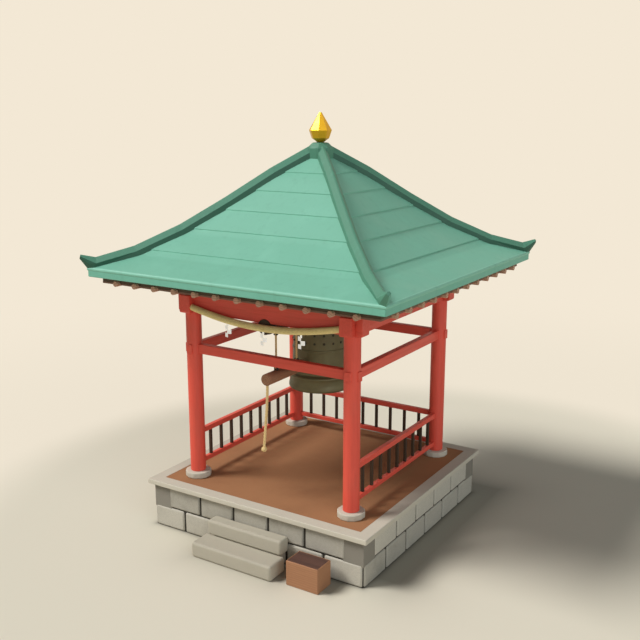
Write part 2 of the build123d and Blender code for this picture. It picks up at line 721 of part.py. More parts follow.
# ---------------------------------------------------------------- roof shell, four mitred panels
def roof_line(lift):
    """Bends of the roof surface lifted by a height, eave first, as (distance from axis, level)."""
    run = eave_half - roof_top_half
    return [(eave_half - run * inward, eave_top + roof_rise * up + lift) for inward, up in roof_bends]


for side, (out_x, out_y) in sides.items():
    outward = Vector(out_x, out_y, 0)
    section_normal = outward.cross(Vector(0, 0, 1))
    with BuildPart() as roof_panel:
        with BuildSketch(Plane(origin=(0, 0, 0), x_dir=outward, z_dir=section_normal)):
            underside = roof_line(-shell_thickness)[:0:-1]
            eave = [(eave_half - eave_return, eave_bottom), (eave_half, eave_bottom)]
            Polygon(*roof_line(0), *underside, *eave, align=None)
        extrude(amount=eave_half, both=True)
        with BuildSketch(Plane(origin=(0, 0, 0), x_dir=outward, z_dir=(0, 0, 1))):
            Polygon((0, 0), (eave_side, eave_side), (eave_side, -eave_side), align=None)
        extrude(amount=cap_top, mode=Mode.INTERSECT)
        add(roof_cap.part, mode=Mode.SUBTRACT)
    roof_panel.part.label = f"roof_panel_{side}"
    export_step(roof_panel.part, f"parts/roof_panel_{side}.step")

# ---------------------------------------------------------------- hip ridges with upturned horns
# each half of a ridge lies on one panel: it is cut to the panel's surface, which runs on past the
# eave as the rising underside of the horn, and the other half is its mirror image
diagonal = sqrt(2)
horn_end = eave_half + horn_reach
cut_reach = eave_half + 2 * horn_reach
ridge_line = [Vector(distance * diagonal, level) for distance, level in roof_line(ridge_height)]
shoulder = ridge_line[0] + (ridge_line[1] - ridge_line[0]) * horn_shoulder_share
for corner, (sign_x, sign_y) in corners.items():
    outward = Vector(sign_x, sign_y, 0).normalized()
    section_normal = outward.cross(Vector(0, 0, 1))
    near_side = max((Vector(sign_x, 0, 0), Vector(0, sign_y, 0)), key=section_normal.dot)
    with BuildPart() as hip_ridge:
        with BuildSketch(Plane(origin=(0, 0, 0), x_dir=outward, z_dir=section_normal)):
            Polygon(
                shoulder,
                *ridge_line[1:],
                (ridge_line[-1].X, eave_bottom),
                (horn_end * diagonal, eave_bottom),
                (horn_end * diagonal, eave_top + horn_tip_rise),
                ((horn_end - horn_lip_reach) * diagonal, eave_top + horn_top_rise),
                align=None,
            )
        extrude(amount=ridge_width / 2)
        upper_faces = faces().filter_by(lambda face: face.normal_at().Z > 0.3)
        outer_edges = upper_faces.edges().group_by(lambda edge: edge.center().dot(section_normal))[-1]
        chamfer(outer_edges, length=ridge_chamfer)
        with BuildSketch(Plane(origin=(0, 0, 0), x_dir=near_side, z_dir=near_side.cross(Vector(0, 0, 1)))):
            Polygon(
                *roof_line(0),
                (0, shell_top),
                (0, 0),
                (cut_reach, 0),
                (cut_reach, eave_top + horn_underside_slope * (cut_reach - eave_half)),
                align=None,
            )
        extrude(amount=cut_reach, both=True, mode=Mode.SUBTRACT)
        add(roof_cap.part, mode=Mode.SUBTRACT)
        mirror(about=Plane(origin=(0, 0, 0), z_dir=section_normal))
    hip_ridge.part.label = f"hip_ridge_{corner}"
    export_step(hip_ridge.part, f"parts/hip_ridge_{corner}.step")

# ---------------------------------------------------------------- finial
finial_sections = (
    (0.0, finial_foot_radius),
    (finial_ring_height, finial_ring_radius),
    (finial_belly_height, finial_belly_radius),
    (finial_height, finial_tip_radius),
)
with BuildPart() as finial:
    for height, radius in finial_sections:
        with BuildSketch(Plane.XY.offset(cap_top + height)):
            RegularPolygon(radius, 8, rotation=22.5)
    loft(ruled=True)
finial.part.label = "finial"
export_step(finial.part, "parts/finial.step")

# ---------------------------------------------------------------- offertory box
box_centre_y = -(podium_half + box_front_distance - box_depth / 2)
body_height = box_height - box_lid_height
with BuildPart() as offertory_box:
    with Locations((box_centre_x, box_centre_y, 0)):
        Box(box_width, box_depth, box_height, align=(Align.CENTER, Align.CENTER, Align.MIN))
    fillet(edges(), radius=box_edge_radius)
    with Locations((box_centre_x, box_centre_y, box_wall)):
        Box(box_width - 2 * box_wall, box_depth - 2 * box_wall, body_height - box_wall,
            align=(Align.CENTER, Align.CENTER, Align.MIN), mode=Mode.SUBTRACT)
    with Locations((box_centre_x, box_centre_y, body_height)):
        Box(box_width - 2 * box_rim, box_depth - 2 * box_rim, box_height,
            align=(Align.CENTER, Align.CENTER, Align.MIN), mode=Mode.SUBTRACT)
offertory_box.part.label = "offertory_box"
export_step(offertory_box.part, "parts/offertory_box.step")

with BuildPart() as offertory_box_lid:
    with Locations((box_centre_x, box_centre_y, body_height)):
        Box(box_width - 2 * (box_rim + box_lid_clearance), box_depth - 2 * (box_rim + box_lid_clearance),
            box_lid_height, align=(Align.CENTER, Align.CENTER, Align.MIN))
offertory_box_lid.part.label = "offertory_box_lid"
export_step(offertory_box_lid.part, "parts/offertory_box_lid.step")
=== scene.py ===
"""Looks of a temple bell pavilion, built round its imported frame. Metres, +Z up, steps towards -Y."""

import json
import logging
from collections.abc import Iterable, Sequence
from dataclasses import dataclass
from enum import Enum
from math import cos, pi, radians, sin, tau

import bmesh
import bpy
from mathutils import Matrix, Vector

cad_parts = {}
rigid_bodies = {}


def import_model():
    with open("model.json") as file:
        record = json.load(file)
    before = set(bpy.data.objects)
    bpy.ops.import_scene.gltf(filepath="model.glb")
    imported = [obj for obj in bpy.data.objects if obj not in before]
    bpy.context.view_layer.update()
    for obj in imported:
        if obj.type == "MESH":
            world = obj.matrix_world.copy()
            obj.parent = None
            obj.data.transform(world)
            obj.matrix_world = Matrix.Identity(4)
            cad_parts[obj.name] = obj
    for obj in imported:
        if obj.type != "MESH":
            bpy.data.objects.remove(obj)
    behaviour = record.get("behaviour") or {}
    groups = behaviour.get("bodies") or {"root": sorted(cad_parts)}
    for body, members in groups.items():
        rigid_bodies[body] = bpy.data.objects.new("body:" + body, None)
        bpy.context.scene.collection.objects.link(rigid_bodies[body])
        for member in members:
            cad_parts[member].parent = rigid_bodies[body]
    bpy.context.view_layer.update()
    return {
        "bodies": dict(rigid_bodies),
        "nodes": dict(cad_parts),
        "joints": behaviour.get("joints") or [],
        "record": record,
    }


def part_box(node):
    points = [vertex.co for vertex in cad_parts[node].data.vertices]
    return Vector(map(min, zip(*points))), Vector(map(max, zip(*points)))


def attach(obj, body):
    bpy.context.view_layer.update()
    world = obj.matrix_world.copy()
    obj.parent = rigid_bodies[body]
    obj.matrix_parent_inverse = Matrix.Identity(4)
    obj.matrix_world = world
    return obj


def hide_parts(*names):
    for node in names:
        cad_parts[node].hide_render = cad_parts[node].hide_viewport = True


log = logging.getLogger("bell_pavilion")
Colour = tuple[float, float, float, float]
Point = tuple[float, float, float]
Outline = Sequence[tuple[float, float]]
Socket = bpy.types.NodeSocket
Value = Socket | float | Colour | Vector
Form = bmesh.types.BMesh
Corners = Sequence[bmesh.types.BMVert]

MERGE_DISTANCE = 1e-5
ROUNDED_FROM = 40.0  # degrees between faces from which an edge of a node is rounded
TONE = "tone"
CORNERS = ("front_left", "front_right", "back_left", "back_right")
ALONG_X, ALONG_Y, ALONG_Z = Vector((1, 0, 0)), Vector((0, 1, 0)), Vector((0, 0, 1))


# ------------------------------------------------------------------ named options
class Body(Enum):
    """Bodies of the frame that pieces ride on."""

    PAVILION = "pavilion"
    FRONT_ROPE = "front_rope"
    REAR_ROPE = "rear_rope"
    STRIKER = "striker"


class Side(Enum):
    """Sides of the square plan, as quarter turns from the front."""

    FRONT = 0
    RIGHT = 1
    BACK = 2
    LEFT = 3

    @property
    def word(self) -> str:
        """The side as nodes and pieces name it."""
        return self.name.lower()

    @property
    def lies_crosswise(self) -> bool:
        """Whether the side runs along X."""
        return self in (Side.FRONT, Side.BACK)

    def take(self, form: Form, corners: Corners) -> None:
        """Turns corners that were made for the front to this side."""
        bmesh.ops.transform(form, matrix=Matrix.Rotation(self.value * pi / 2, 4, "Z"), verts=corners)


class Grain(Enum):
    """Direction in which fibres run, as the stretch of their pattern."""

    ALONG_X = (0.06, 1.0, 1.0)
    ALONG_Y = (1.0, 0.06, 1.0)
    ALONG_Z = (1.0, 1.0, 0.06)


# ------------------------------------------------------------------ node graphs
def display(*levels: int) -> Colour:
    """Linear colour of a display colour.

    Args:
        levels: Red, green and blue, from 0 to 255.

    Returns:
        The colour as a material takes it.
    """
    shares = [level / 255 for level in levels]
    linear = [share / 12.92 if share <= 0.04045 else ((share + 0.055) / 1.055) ** 2.4 for share in shares]
    return (*linear, 1.0)


BLACK = display(0, 0, 0)
MIX_SHARE, MIX_FIRST, MIX_SECOND, MIXED = 0, 6, 7, 2  # sockets of a colour mixer, whose names repeat


class Graph:
    """Node graph of a material or world, with short calls for the nodes that the looks use."""

    def __init__(self, owner: bpy.types.Material | bpy.types.World) -> None:
        """Starts the graph of a new material or world."""
        owner.use_nodes = True
        self.tree = owner.node_tree

    def feed(self, node: bpy.types.Node, inputs: dict[str | int, Value]) -> None:
        """Links inputs of a node to other nodes' outputs, or sets their values.

        Args:
            node: The node.
            inputs: What each input takes.
        """
        for name, value in inputs.items():
            if isinstance(value, Socket):
                self.tree.links.new(value, node.inputs[name])
            else:
                node.inputs[name].default_value = value

    def node(self, kind: str, output: str | int, inputs: dict[str | int, Value] | None = None,
             **settings: str) -> Socket:
        """Adds a node.

        Args:
            kind: Its type, without the leading ShaderNode.
            output: Output that is wanted.
            inputs: What each input takes.
            settings: The node's own settings.

        Returns:
            The output.
        """
        node = self.tree.nodes.new(f"ShaderNode{kind}")
        for name, value in settings.items():
            setattr(node, name, value)
        self.feed(node, inputs or {})
        return node.outputs[output]

    def place(self) -> Socket:
        """Object coordinates of the shaded point."""
        return self.node("TexCoord", "Object")

    def points(self, stretch: Point = (1, 1, 1), shift: Point = (0, 0, 0)) -> Socket:
        """Object coordinates, scaled along each axis and then shifted."""
        return self.node("Mapping", "Vector", {"Vector": self.place(), "Scale": stretch, "Location": shift})

    def noise(self, points: Socket, scale: float, detail: float = 4.0, rough: float = 0.55,
              warp: float = 0.0) -> Socket:
        """Cloudy noise of about 0.5 on average, with finer clouds for a larger scale."""
        return self.node("TexNoise", "Fac", {"Vector": points, "Scale": scale, "Detail": detail,
                                             "Roughness": rough, "Distortion": warp})

    def rings(self, points: Socket, axis: str, scale: float, warp: float) -> Socket:
        """Growth rings round an axis, which lie closer with a larger scale."""
        inputs = {"Vector": points, "Scale": scale, "Distortion": warp, "Detail": 2.0, "Detail Scale": 2.0}
        return self.node("TexWave", "Fac", inputs, wave_type="RINGS", rings_direction=axis)

    def tone(self) -> Socket:
        """Tone stored on the mesh, or 0 where it has none."""
        return self.node("Attribute", "Fac", attribute_name=TONE)

    def spread(self, value: Socket, low: float, high: float, to_low: float = 0.0,
               to_high: float = 1.0) -> Socket:
        """Maps the range from low to high to another with a smooth step."""
        return self.node("MapRange", "Result", {"Value": value, "From Min": low, "From Max": high,
                                                "To Min": to_low, "To Max": to_high},
                         interpolation_type="SMOOTHSTEP")

    def mix(self, share: Value, first: Value, second: Value) -> Socket:
        """Mixes two colours, with the share of the second."""
        return self.node("Mix", MIXED, {MIX_SHARE: share, MIX_FIRST: first, MIX_SECOND: second},
                         data_type="RGBA")

    def veil(self, colour: Value, other: Value, pattern: Socket, low: float, high: float,
             share: float) -> Socket:
        """Lays up to a share of another colour over one, from low to high of a pattern."""
        return self.mix(self.spread(pattern, low, high, 0.0, share), colour, other)

    def maths(self, operation: str, first: Value, second: Value = 0.0) -> Socket:
        """Result of a maths operation."""
        return self.node("Math", 0, {0: first, 1: second}, operation=operation)

    def vectors(self, operation: str, first: Socket, second: Point = (0, 0, 0),
                output: str = "Vector") -> Socket:
        """Result of a vector operation."""
        return self.node("VectorMath", output, {0: first, 1: second}, operation=operation)

    def relief(self, height: Socket, depth: float, strength: float) -> Socket:
        """Normal of a relief whose height is given, with its depth in metres."""
        return self.node("Bump", "Normal", {"Height": height, "Distance": depth, "Strength": strength})

    def surface(self, colour: Value, rough: Value, gloss: float, **others: Value) -> None:
        """Feeds the material's shader.

        Args:
            colour: Base colour.
            rough: Roughness.
            gloss: Specular level.
            others: Its other inputs.
        """
        inputs = {"Base Color": colour, "Roughness": rough, "Specular IOR Level": gloss}
        self.feed(self.tree.nodes["Principled BSDF"], inputs | others)

    def show(self, share: Socket, first: Socket, second: Socket, target: str) -> None:
        """Shows a mixture of two shaders.

        Args:
            share: Share of the second shader.
            first: First shader.
            second: Second shader.
            target: Name of the output node.
        """
        mixture = self.node("MixShader", 0, {0: share, 1: first, 2: second})
        self.feed(self.tree.nodes[target], {"Surface": mixture})


# ------------------------------------------------------------------ finishes
@dataclass(frozen=True)
class Finish:
    """Finish of a piece: its name, its slot in the record and its main colour."""

    name: str
    slot: str
    colour: Colour

    def paint(self, graph: Graph) -> None:
        """Feeds the shader of a new material; each kind of finish has its own way."""
        raise NotImplementedError

    def material(self) -> bpy.types.Material:
        """The finish's material, made once.

        Returns:
            The material.
        """
        name = f"finish_{self.name}"
        material = bpy.data.materials.get(name)
        if not material:
            material = bpy.data.materials.new(name)
            self.paint(Graph(material))
        return material

    def dress(self, piece: bpy.types.Object) -> None:
        """Gives a new piece or a node of the frame this finish."""
        piece.data.materials.clear()
        piece.data.materials.append(self.material())


@dataclass(frozen=True)
class CutStone(Finish):
    """Pale dressed stone, with fine speckles, soft stains and a tone per block, which on the coursed blocks
    carries painted shade for each side.
    """

    stain: Colour
    speckle: float = 0.25
    pitting: float = 0.0015

    def paint(self, graph: Graph) -> None:
        """Feeds speckles, stains and the tone of each block to the shader; on the coursed blocks the tone
        is mostly painted shade for their side.

        Args:
            graph: Graph of the new material.
        """
        points = graph.points()
        grains = graph.noise(points, 140.0, 2.0)
        clouds = graph.noise(points, 2.6, 5.0, 0.6)
        mottle = graph.noise(points, 17.0, 5.0, 0.65)
        # Painted shade: the stored tone, set per side of the coursed blocks with a small random swing,
        # darkens them towards the stain colour together with the cloudy stains.
        tone = graph.spread(graph.tone(), -1.0, 1.0, -0.5, 0.5)
        dirt_and_painted_shade = graph.maths("ADD", graph.spread(clouds, 0.42, 0.75, 0.0, 0.16), tone)
        colour = graph.veil(self.colour, self.stain, dirt_and_painted_shade, 0.0, 1.0, 1.0)
        colour = graph.veil(colour, self.stain, grains, 0.35, 0.65, self.speckle)
        colour = graph.veil(colour, self.stain, mottle, 0.5, 0.8, 0.12)
        height = graph.maths("ADD", mottle, graph.maths("MULTIPLY", grains, 0.4))
        graph.surface(colour, 0.86, 0.25, Normal=graph.relief(height, self.pitting, 1.0))


@dataclass(frozen=True)
class Lacquer(Finish):
    """Red lacquer over timber, with a faint grain and a little wear."""

    grain: Grain
    worn: Colour = display(196, 92, 72)
    shade: float = 0.72

    def paint(self, graph: Graph) -> None:
        """Feeds the grain under the lacquer to the shader.

        Args:
            graph: Graph of the new material.
        """
        fibres = graph.noise(graph.points(self.grain.value), 26.0, 5.0, 0.6, 0.4)
        clouds = graph.noise(graph.points(), 1.7, 3.0)
        dark = (*(self.shade * channel for channel in self.colour[:3]), 1.0)
        colour = graph.veil(self.colour, dark, fibres, 0.35, 0.72, 0.35)
        colour = graph.veil(colour, self.worn, clouds, 0.45, 0.8, 0.35)
        rough = graph.spread(fibres, 0.3, 0.7, 0.42, 0.58)
        graph.surface(colour, rough, 0.4, Normal=graph.relief(fibres, 0.0012, 0.6))


@dataclass(frozen=True)
class Timber(Finish):
    """Bare timber with growth rings round its axis, so that ends show rings and sides show streaks."""

    grain: Grain
    late: Colour
    centre: Point = (0.0, 0.0, 0.0)
    ring_scale: float = 60.0 / tau

    def paint(self, graph: Graph) -> None:
        """Feeds rings and fibres to the shader.

        Args:
            graph: Graph of the new material.
        """
        shift = tuple(-place * scale for place, scale in zip(self.centre, self.grain.value))
        points = graph.points(self.grain.value, shift)
        axis = self.grain.name[-1]
        rings = graph.rings(points, axis, self.ring_scale, 2.5)
        fibres = graph.noise(points, 70.0, 4.0, 0.6)
        clouds = graph.noise(graph.points(), 2.3, 3.0)
        colour = graph.veil(self.colour, self.late, rings, 0.25, 0.95, 0.45)
        colour = graph.veil(colour, self.late, fibres, 0.4, 0.75, 0.4)
        colour = graph.veil(colour, self.late, clouds, 0.4, 0.8, 0.3)
        height = graph.maths("ADD", rings, fibres)
        graph.surface(colour, 0.68, 0.3, Normal=graph.relief(height, 0.0009, 0.7))


@dataclass(frozen=True)
class Clay(Finish):
    """Beaten clay floor, swept and slightly uneven."""

    damp: Colour

    def paint(self, graph: Graph) -> None:
        """Feeds fine grit and soft patches to the shader.

        Args:
            graph: Graph of the new material.
        """
        points = graph.points()
        patches = graph.noise(points, 1.1, 5.0, 0.6)
        grit = graph.noise(points, 60.0, 4.0, 0.7)
        colour = graph.veil(self.colour, self.damp, patches, 0.4, 0.75, 0.35)
        colour = graph.veil(colour, self.damp, grit, 0.45, 0.75, 0.2)
        graph.surface(colour, 0.9, 0.2, Normal=graph.relief(grit, 0.002, 0.5))


@dataclass(frozen=True)
class Copper(Finish):
    """Green patina on sheet copper, with faint streaks running down the slope, and a painted flank colour
    on the hip ridges: painted shade on most, painted light on the near ridge's right flank.
    """

    pale: Colour
    deep: Colour = display(92, 148, 124)

    def paint(self, graph: Graph) -> None:
        """Feeds patina clouds, down-slope streaks and the painted flank colour, set where the mesh stores
        tone, to the shader.

        Args:
            graph: Graph of the new material.
        """
        points = graph.points()
        clouds = graph.noise(points, 1.5, 5.0, 0.6)
        streaks = graph.noise(graph.points((1.0, 1.0, 0.18)), 9.0, 5.0, 0.6)
        spots = graph.noise(points, 45.0, 3.0, 0.6)
        colour = graph.veil(self.colour, self.pale, clouds, 0.45, 0.8, 0.3)
        colour = graph.veil(colour, self.deep, streaks, 0.5, 0.85, 0.35)
        colour = graph.veil(colour, self.deep, spots, 0.55, 0.8, 0.15)
        # Painted flank colour: faces stored with tone 1, the flanks of the hip ridges, take the streak
        # colour in full, as painted shade on most ridges and painted light on the near one.
        colour = graph.veil(colour, self.deep, graph.tone(), 0.0, 1.0, 1.0)
        rough = graph.spread(clouds, 0.3, 0.7, 0.46, 0.6)
        graph.surface(colour, rough, 0.4, Normal=graph.relief(spots, 0.0008, 0.5))


@dataclass(frozen=True)
class Metal(Finish):
    """Cast, forged or gilded metal, with a patina in its clouds."""

    patina: Colour
    metallic: float
    rough: float
    patina_share: float = 0.5
    depth: float = 0.0006

    def paint(self, graph: Graph) -> None:
        """Feeds the patina to the shader.

        Args:
            graph: Graph of the new material.
        """
        points = graph.points()
        clouds = graph.noise(points, 5.0, 6.0, 0.65)
        grains = graph.noise(points, 120.0, 3.0, 0.6)
        colour = graph.veil(self.colour, self.patina, clouds, 0.38, 0.72, self.patina_share)
        rough = graph.spread(clouds, 0.3, 0.75, self.rough, self.rough + 0.15)
        relief = graph.relief(grains, self.depth, 0.6)
        graph.surface(colour, rough, 0.5, Normal=relief, Metallic=self.metallic)


@dataclass(frozen=True)
class Fibre(Finish):
    """Twisted plant fibre, with single stalks lighter and darker."""

    grain: Grain
    shadow: Colour
    stalks: float = 420.0

    def paint(self, graph: Graph) -> None:
        """Feeds stalks and stray colour to the shader.

        Args:
            graph: Graph of the new material.
        """
        stalks = graph.noise(graph.points(self.grain.value), self.stalks, 3.0, 0.6, 0.6)
        clouds = graph.noise(graph.points(), 9.0, 4.0)
        colour = graph.veil(self.colour, self.shadow, stalks, 0.42, 0.62, 0.6)
        colour = graph.veil(colour, self.shadow, clouds, 0.45, 0.75, 0.3)
        graph.surface(colour, 0.85, 0.2, Normal=graph.relief(stalks, 0.0016, 0.8))


@dataclass(frozen=True)
class Paper(Finish):
    """Folded white paper, with a faint painted glow."""

    grey: Colour
    glow: float = 0.22

    def paint(self, graph: Graph) -> None:
        """Feeds fine fibres, and a faint painted glow in the paper's own colour, to the shader.

        Args:
            graph: Graph of the new material.
        """
        fibres = graph.noise(graph.points(), 180.0, 3.0, 0.6)
        colour = graph.veil(self.colour, self.grey, fibres, 0.4, 0.7, 0.4)
        # Painted glow: the paper gives off a little light of its own colour, which brightens it in the
        # shade under the eave.
        painted_glow = {"Emission Color": colour, "Emission Strength": self.glow}
        graph.surface(colour, 0.8, 0.2, Normal=graph.relief(fibres, 0.0003, 0.5), **painted_glow)


CORE_STONE = CutStone("core_stone", "dark_stone", display(64, 60, 53), display(50, 47, 42))
PIER_STONE = CutStone("pier_stone", "dark_stone", display(139, 133, 121), display(108, 102, 92))
BLOCK_STONE = CutStone("block_stone", "block_stone", display(204, 197, 181), display(116, 111, 100))
STEP_STONE = CutStone("step_stone", "pale_stone", display(180, 172, 154), display(142, 135, 119), 0.15)
PALE_STONE = CutStone("pale_stone", "pale_stone", display(202, 194, 176), display(158, 150, 132), 0.15)
FLOOR_CLAY = Clay("floor_clay", "floor_clay", display(162, 115, 79), display(132, 90, 62))

RED = ("red_lacquered_wood", display(226, 84, 66))
RED_UPRIGHT = Lacquer("red_upright", *RED, Grain.ALONG_Z)
RED_CROSSWISE = Lacquer("red_crosswise", *RED, Grain.ALONG_X)
RED_LENGTHWISE = Lacquer("red_lengthwise", *RED, Grain.ALONG_Y)
DARK_UPRIGHT = Timber("dark_upright", "dark_wood", display(66, 48, 32), Grain.ALONG_Z, display(38, 28, 20))
DARK_BOARD = Timber("dark_board", "dark_wood", display(92, 74, 56), Grain.ALONG_X, display(58, 44, 32))
DARK_LOG = Timber("dark_log", "dark_wood", display(74, 58, 42), Grain.ALONG_Y, display(42, 32, 24),
                  (0.0, 0.0, 3.65))
RAFTER = ("rafter_wood", display(196, 152, 126))
RAFTER_LATE = display(140, 104, 84)
RAFTER_CROSSWISE = Timber("rafter_crosswise", *RAFTER, Grain.ALONG_X, RAFTER_LATE)
RAFTER_LENGTHWISE = Timber("rafter_lengthwise", *RAFTER, Grain.ALONG_Y, RAFTER_LATE)
LATH_WOOD = Timber("lath_wood", "rafter_wood", display(134, 100, 82), Grain.ALONG_X, display(100, 74, 60))
STRIKER_WOOD = Timber("striker_wood", "striker_wood", display(156, 112, 84), Grain.ALONG_Y,
                      display(104, 70, 50), (0.0, 0.0, 2.79))
BOX_WOOD = Timber("box_wood", "box_wood", display(168, 120, 86), Grain.ALONG_X, display(150, 106, 76),
                  (1.28, -2.37, -0.4))
LID_WOOD = Timber("lid_wood", "box_lid_wood", display(92, 64, 54), Grain.ALONG_X, display(66, 46, 39),
                  (1.28, -2.37, 0.0))

BRONZE = Metal("bronze", "bronze", display(104, 98, 66), display(84, 80, 58), 0.3, 0.42, 0.3)
DARK_BRONZE = Metal("dark_bronze", "bronze", display(58, 56, 36), display(40, 40, 30), 0.35, 0.5)
IRON = Metal("iron", "black_iron", display(62, 58, 54), display(40, 32, 26), 0.7, 0.5)
GILDING = Metal("gilding", "gilded_metal", display(222, 172, 38), display(190, 132, 28), 0.75, 0.3, 0.3,
                0.0002)
COPPER = Copper("copper", "green_copper", display(112, 175, 151), display(140, 200, 176))
EAVE_COPPER = Copper("eave_copper", "green_copper", display(110, 175, 152), display(124, 188, 166))
# The eave bead is painted lighter than the courses, a painted highlight along the eave's rolled edge.
BEAD_COPPER_PAINTED_HIGHLIGHT = Copper("bead_copper", "green_copper", display(126, 188, 164), display(140, 202, 180))
# The last colour of each ridge finish is its streak colour and its painted flank colour: dark painted shade
# on the flanks of the other three ridges, and painted light on the near ridge's right flank, which lifts it
# out of its shade.
RIDGE = ("green_copper", display(76, 131, 108), display(90, 146, 122))
RIDGE_COPPER = Copper("ridge_copper", *RIDGE, display(38, 88, 69))
NEAR_RIDGE_COPPER = Copper("near_ridge_copper", *RIDGE, display(88, 157, 134))

STRAW = Fibre("straw", "straw", display(248, 230, 166), Grain.ALONG_X, display(206, 182, 118))
HEMP = Fibre("hemp", "hemp_rope", display(238, 208, 148), Grain.ALONG_Z, display(186, 154, 102), 700.0)
WHITE_PAPER = Paper("white_paper", "white_paper", display(253, 251, 246), display(244, 240, 232))


# ------------------------------------------------------------------ making pieces
def make_piece(form: Form, name: str, finish: Finish, stands_for: Sequence[str] = (),
               body: Body = Body.PAVILION, smooth: float | None = None) -> bpy.types.Object:
    """Turns a form into a finished piece on its body.

    Args:
        form: The form, which is freed.
        name: Name of the piece.
        finish: Its finish.
        stands_for: Nodes of the frame that it replaces.
        body: Body that it rides on.
        smooth: Angle in degrees from which an edge is sharp, or None to keep each face's own shading.

    Returns:
        The piece.
    """
    bmesh.ops.recalc_face_normals(form, faces=form.faces)
    mesh = bpy.data.meshes.new(name)
    form.to_mesh(mesh)
    form.free()
    if smooth is not None:
        mesh.shade_smooth()
        mesh.set_sharp_from_angle(angle=radians(smooth))
    piece = bpy.data.objects.new(name, mesh)
    bpy.context.scene.collection.objects.link(piece)
    finish.dress(piece)
    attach(piece, body.value)
    if stands_for:
        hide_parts(*stands_for)
    log.info("%s: %d faces", name, len(mesh.polygons))
    return piece


def moved_corners(made: dict) -> list[bmesh.types.BMVert]:
    """Corners of what an extrusion made."""
    return [item for item in made["geom"] if isinstance(item, bmesh.types.BMVert)]


def sharp_edges(form: Form, angle: float) -> list[bmesh.types.BMEdge]:
    """Edges at which the faces of a form turn by more than an angle in degrees."""
    return [edge for edge in form.edges if edge.is_manifold and edge.calc_face_angle(0.0) > radians(angle)]


def round_edges(form: Form, edges: Iterable[bmesh.types.BMEdge], width: float, segments: int) -> None:
    """Rounds edges and shades the rounding smooth.

    Args:
        form: The form.
        edges: Edges to round.
        width: Width of the rounding.
        segments: Steps across the rounding.
    """
    edges = list(edges)
    corners = {corner for edge in edges for corner in edge.verts}
    made = bmesh.ops.bevel(form, geom=edges + list(corners), offset=width, offset_type="OFFSET",
                           segments=segments, profile=0.5, affect="EDGES", clamp_overlap=True,
                           material=-1)
    for face in made["faces"]:
        face.smooth = True


def add_block(form: Form, low: Sequence[float], high: Sequence[float], edge: float, segments: int = 3,
              tone: float = 0.0) -> Corners:
    """Adds a block with rounded edges.

    Args:
        form: Form that it is added to.
        low: Lowest corner.
        high: Highest corner.
        edge: Radius of its edges.
        segments: Steps across each edge.
        tone: Tone stored on its faces.

    Returns:
        The block's corners.
    """
    layer = form.faces.layers.float.get(TONE) or form.faces.layers.float.new(TONE)
    faces_before = set(form.faces)
    size = Vector(high) - Vector(low)
    centre = (Vector(high) + Vector(low)) / 2
    place = Matrix.Translation(centre) @ Matrix.Diagonal((*size, 1.0))
    made = bmesh.ops.create_cube(form, size=1.0, matrix=place)
    round_edges(form, {line for corner in made["verts"] for line in corner.link_edges}, edge, segments)
    new_faces = [face for face in form.faces if face not in faces_before]
    for face in new_faces:
        face[layer] = tone
    return list({corner for face in new_faces for corner in face.verts})


def add_lathe(form: Form, outline: Outline, centre: Sequence[float], steps: int,
              axis: Vector = ALONG_Z) -> None:
    """Adds a turned shape.

    Args:
        form: Form that it is added to.
        outline: Points as (radius, distance along the axis).
        centre: Point from which the distances run.
        steps: Steps round the axis.
        axis: Axis of the turning.
    """
    outwards = axis.orthogonal().normalized()
    corners = [form.verts.new(Vector(centre) + outwards * radius + axis * along)
               for radius, along in outline]
    edges = [form.edges.new(pair) for pair in zip(corners, corners[1:])]
    bmesh.ops.spin(form, geom=corners + edges, cent=centre, axis=axis, dvec=(0, 0, 0), angle=tau,
                   steps=steps, use_merge=True, use_duplicate=False)
    bmesh.ops.remove_doubles(form, verts=form.verts, dist=MERGE_DISTANCE)


def copy_of_node(frame: dict, node: str) -> Form:
    """Copy of a node, its triangles merged and joined to flat faces.

    Args:
        frame: The loaded frame.
        node: Name of the node.

    Returns:
        The copy, as a form.
    """
    form = bmesh.new()
    form.from_mesh(frame["nodes"][node].data)
    bmesh.ops.remove_doubles(form, verts=form.verts, dist=MERGE_DISTANCE)
    bmesh.ops.dissolve_limit(form, angle_limit=radians(1.0), use_dissolve_boundaries=False,
                             verts=form.verts, edges=form.edges, delimit={"NORMAL"})
    for face in form.faces:
        face.smooth = False
    return form


def soften_node(frame: dict, node: str, finish: Finish, edge: float, smooth: float | None = None,
                body: Body = Body.PAVILION) -> None:
    """Replaces a node by a copy with rounded edges.

    Args:
        frame: The loaded frame.
        node: Name of the node.
        finish: Finish of the copy.
        edge: Radius of the rounded edges, or 0 to keep them.
        smooth: Angle in degrees from which an edge is sharp, or None.
        body: Body that it rides on.
    """
    form = copy_of_node(frame, node)
    if edge:
        round_edges(form, sharp_edges(form, ROUNDED_FROM), edge, 2)
    make_piece(form, f"soft_{node}", finish, [node], body, smooth)


# ------------------------------------------------------------------ cords
def points_along(name: str, controls: Sequence[Point]) -> list[Vector]:
    """Points read along a cord's route, which is one open NURBS spline.

    Args:
        name: Name of the route.
        controls: Its control points.

    Returns:
        The points in order.
    """
    curve = bpy.data.curves.new(name, "CURVE")
    curve.dimensions = "3D"
    curve.resolution_u = 40
    spline = curve.splines.new("NURBS")
    spline.points.add(len(controls) - 1)
    for control, point in zip(spline.points, controls):
        control.co = (*point, 1.0)
    spline.order_u = 3
    spline.use_endpoint_u = True
    mesh = bpy.data.meshes.new_from_object(bpy.data.objects.new(name, curve))
    places = [corner.co.copy() for corner in mesh.vertices]
    bpy.data.meshes.remove(mesh)
    return places


def path_length(path: Sequence[Vector]) -> float:
    """Length of a path in metres."""
    return sum((after - before).length for before, after in zip(path, path[1:]))


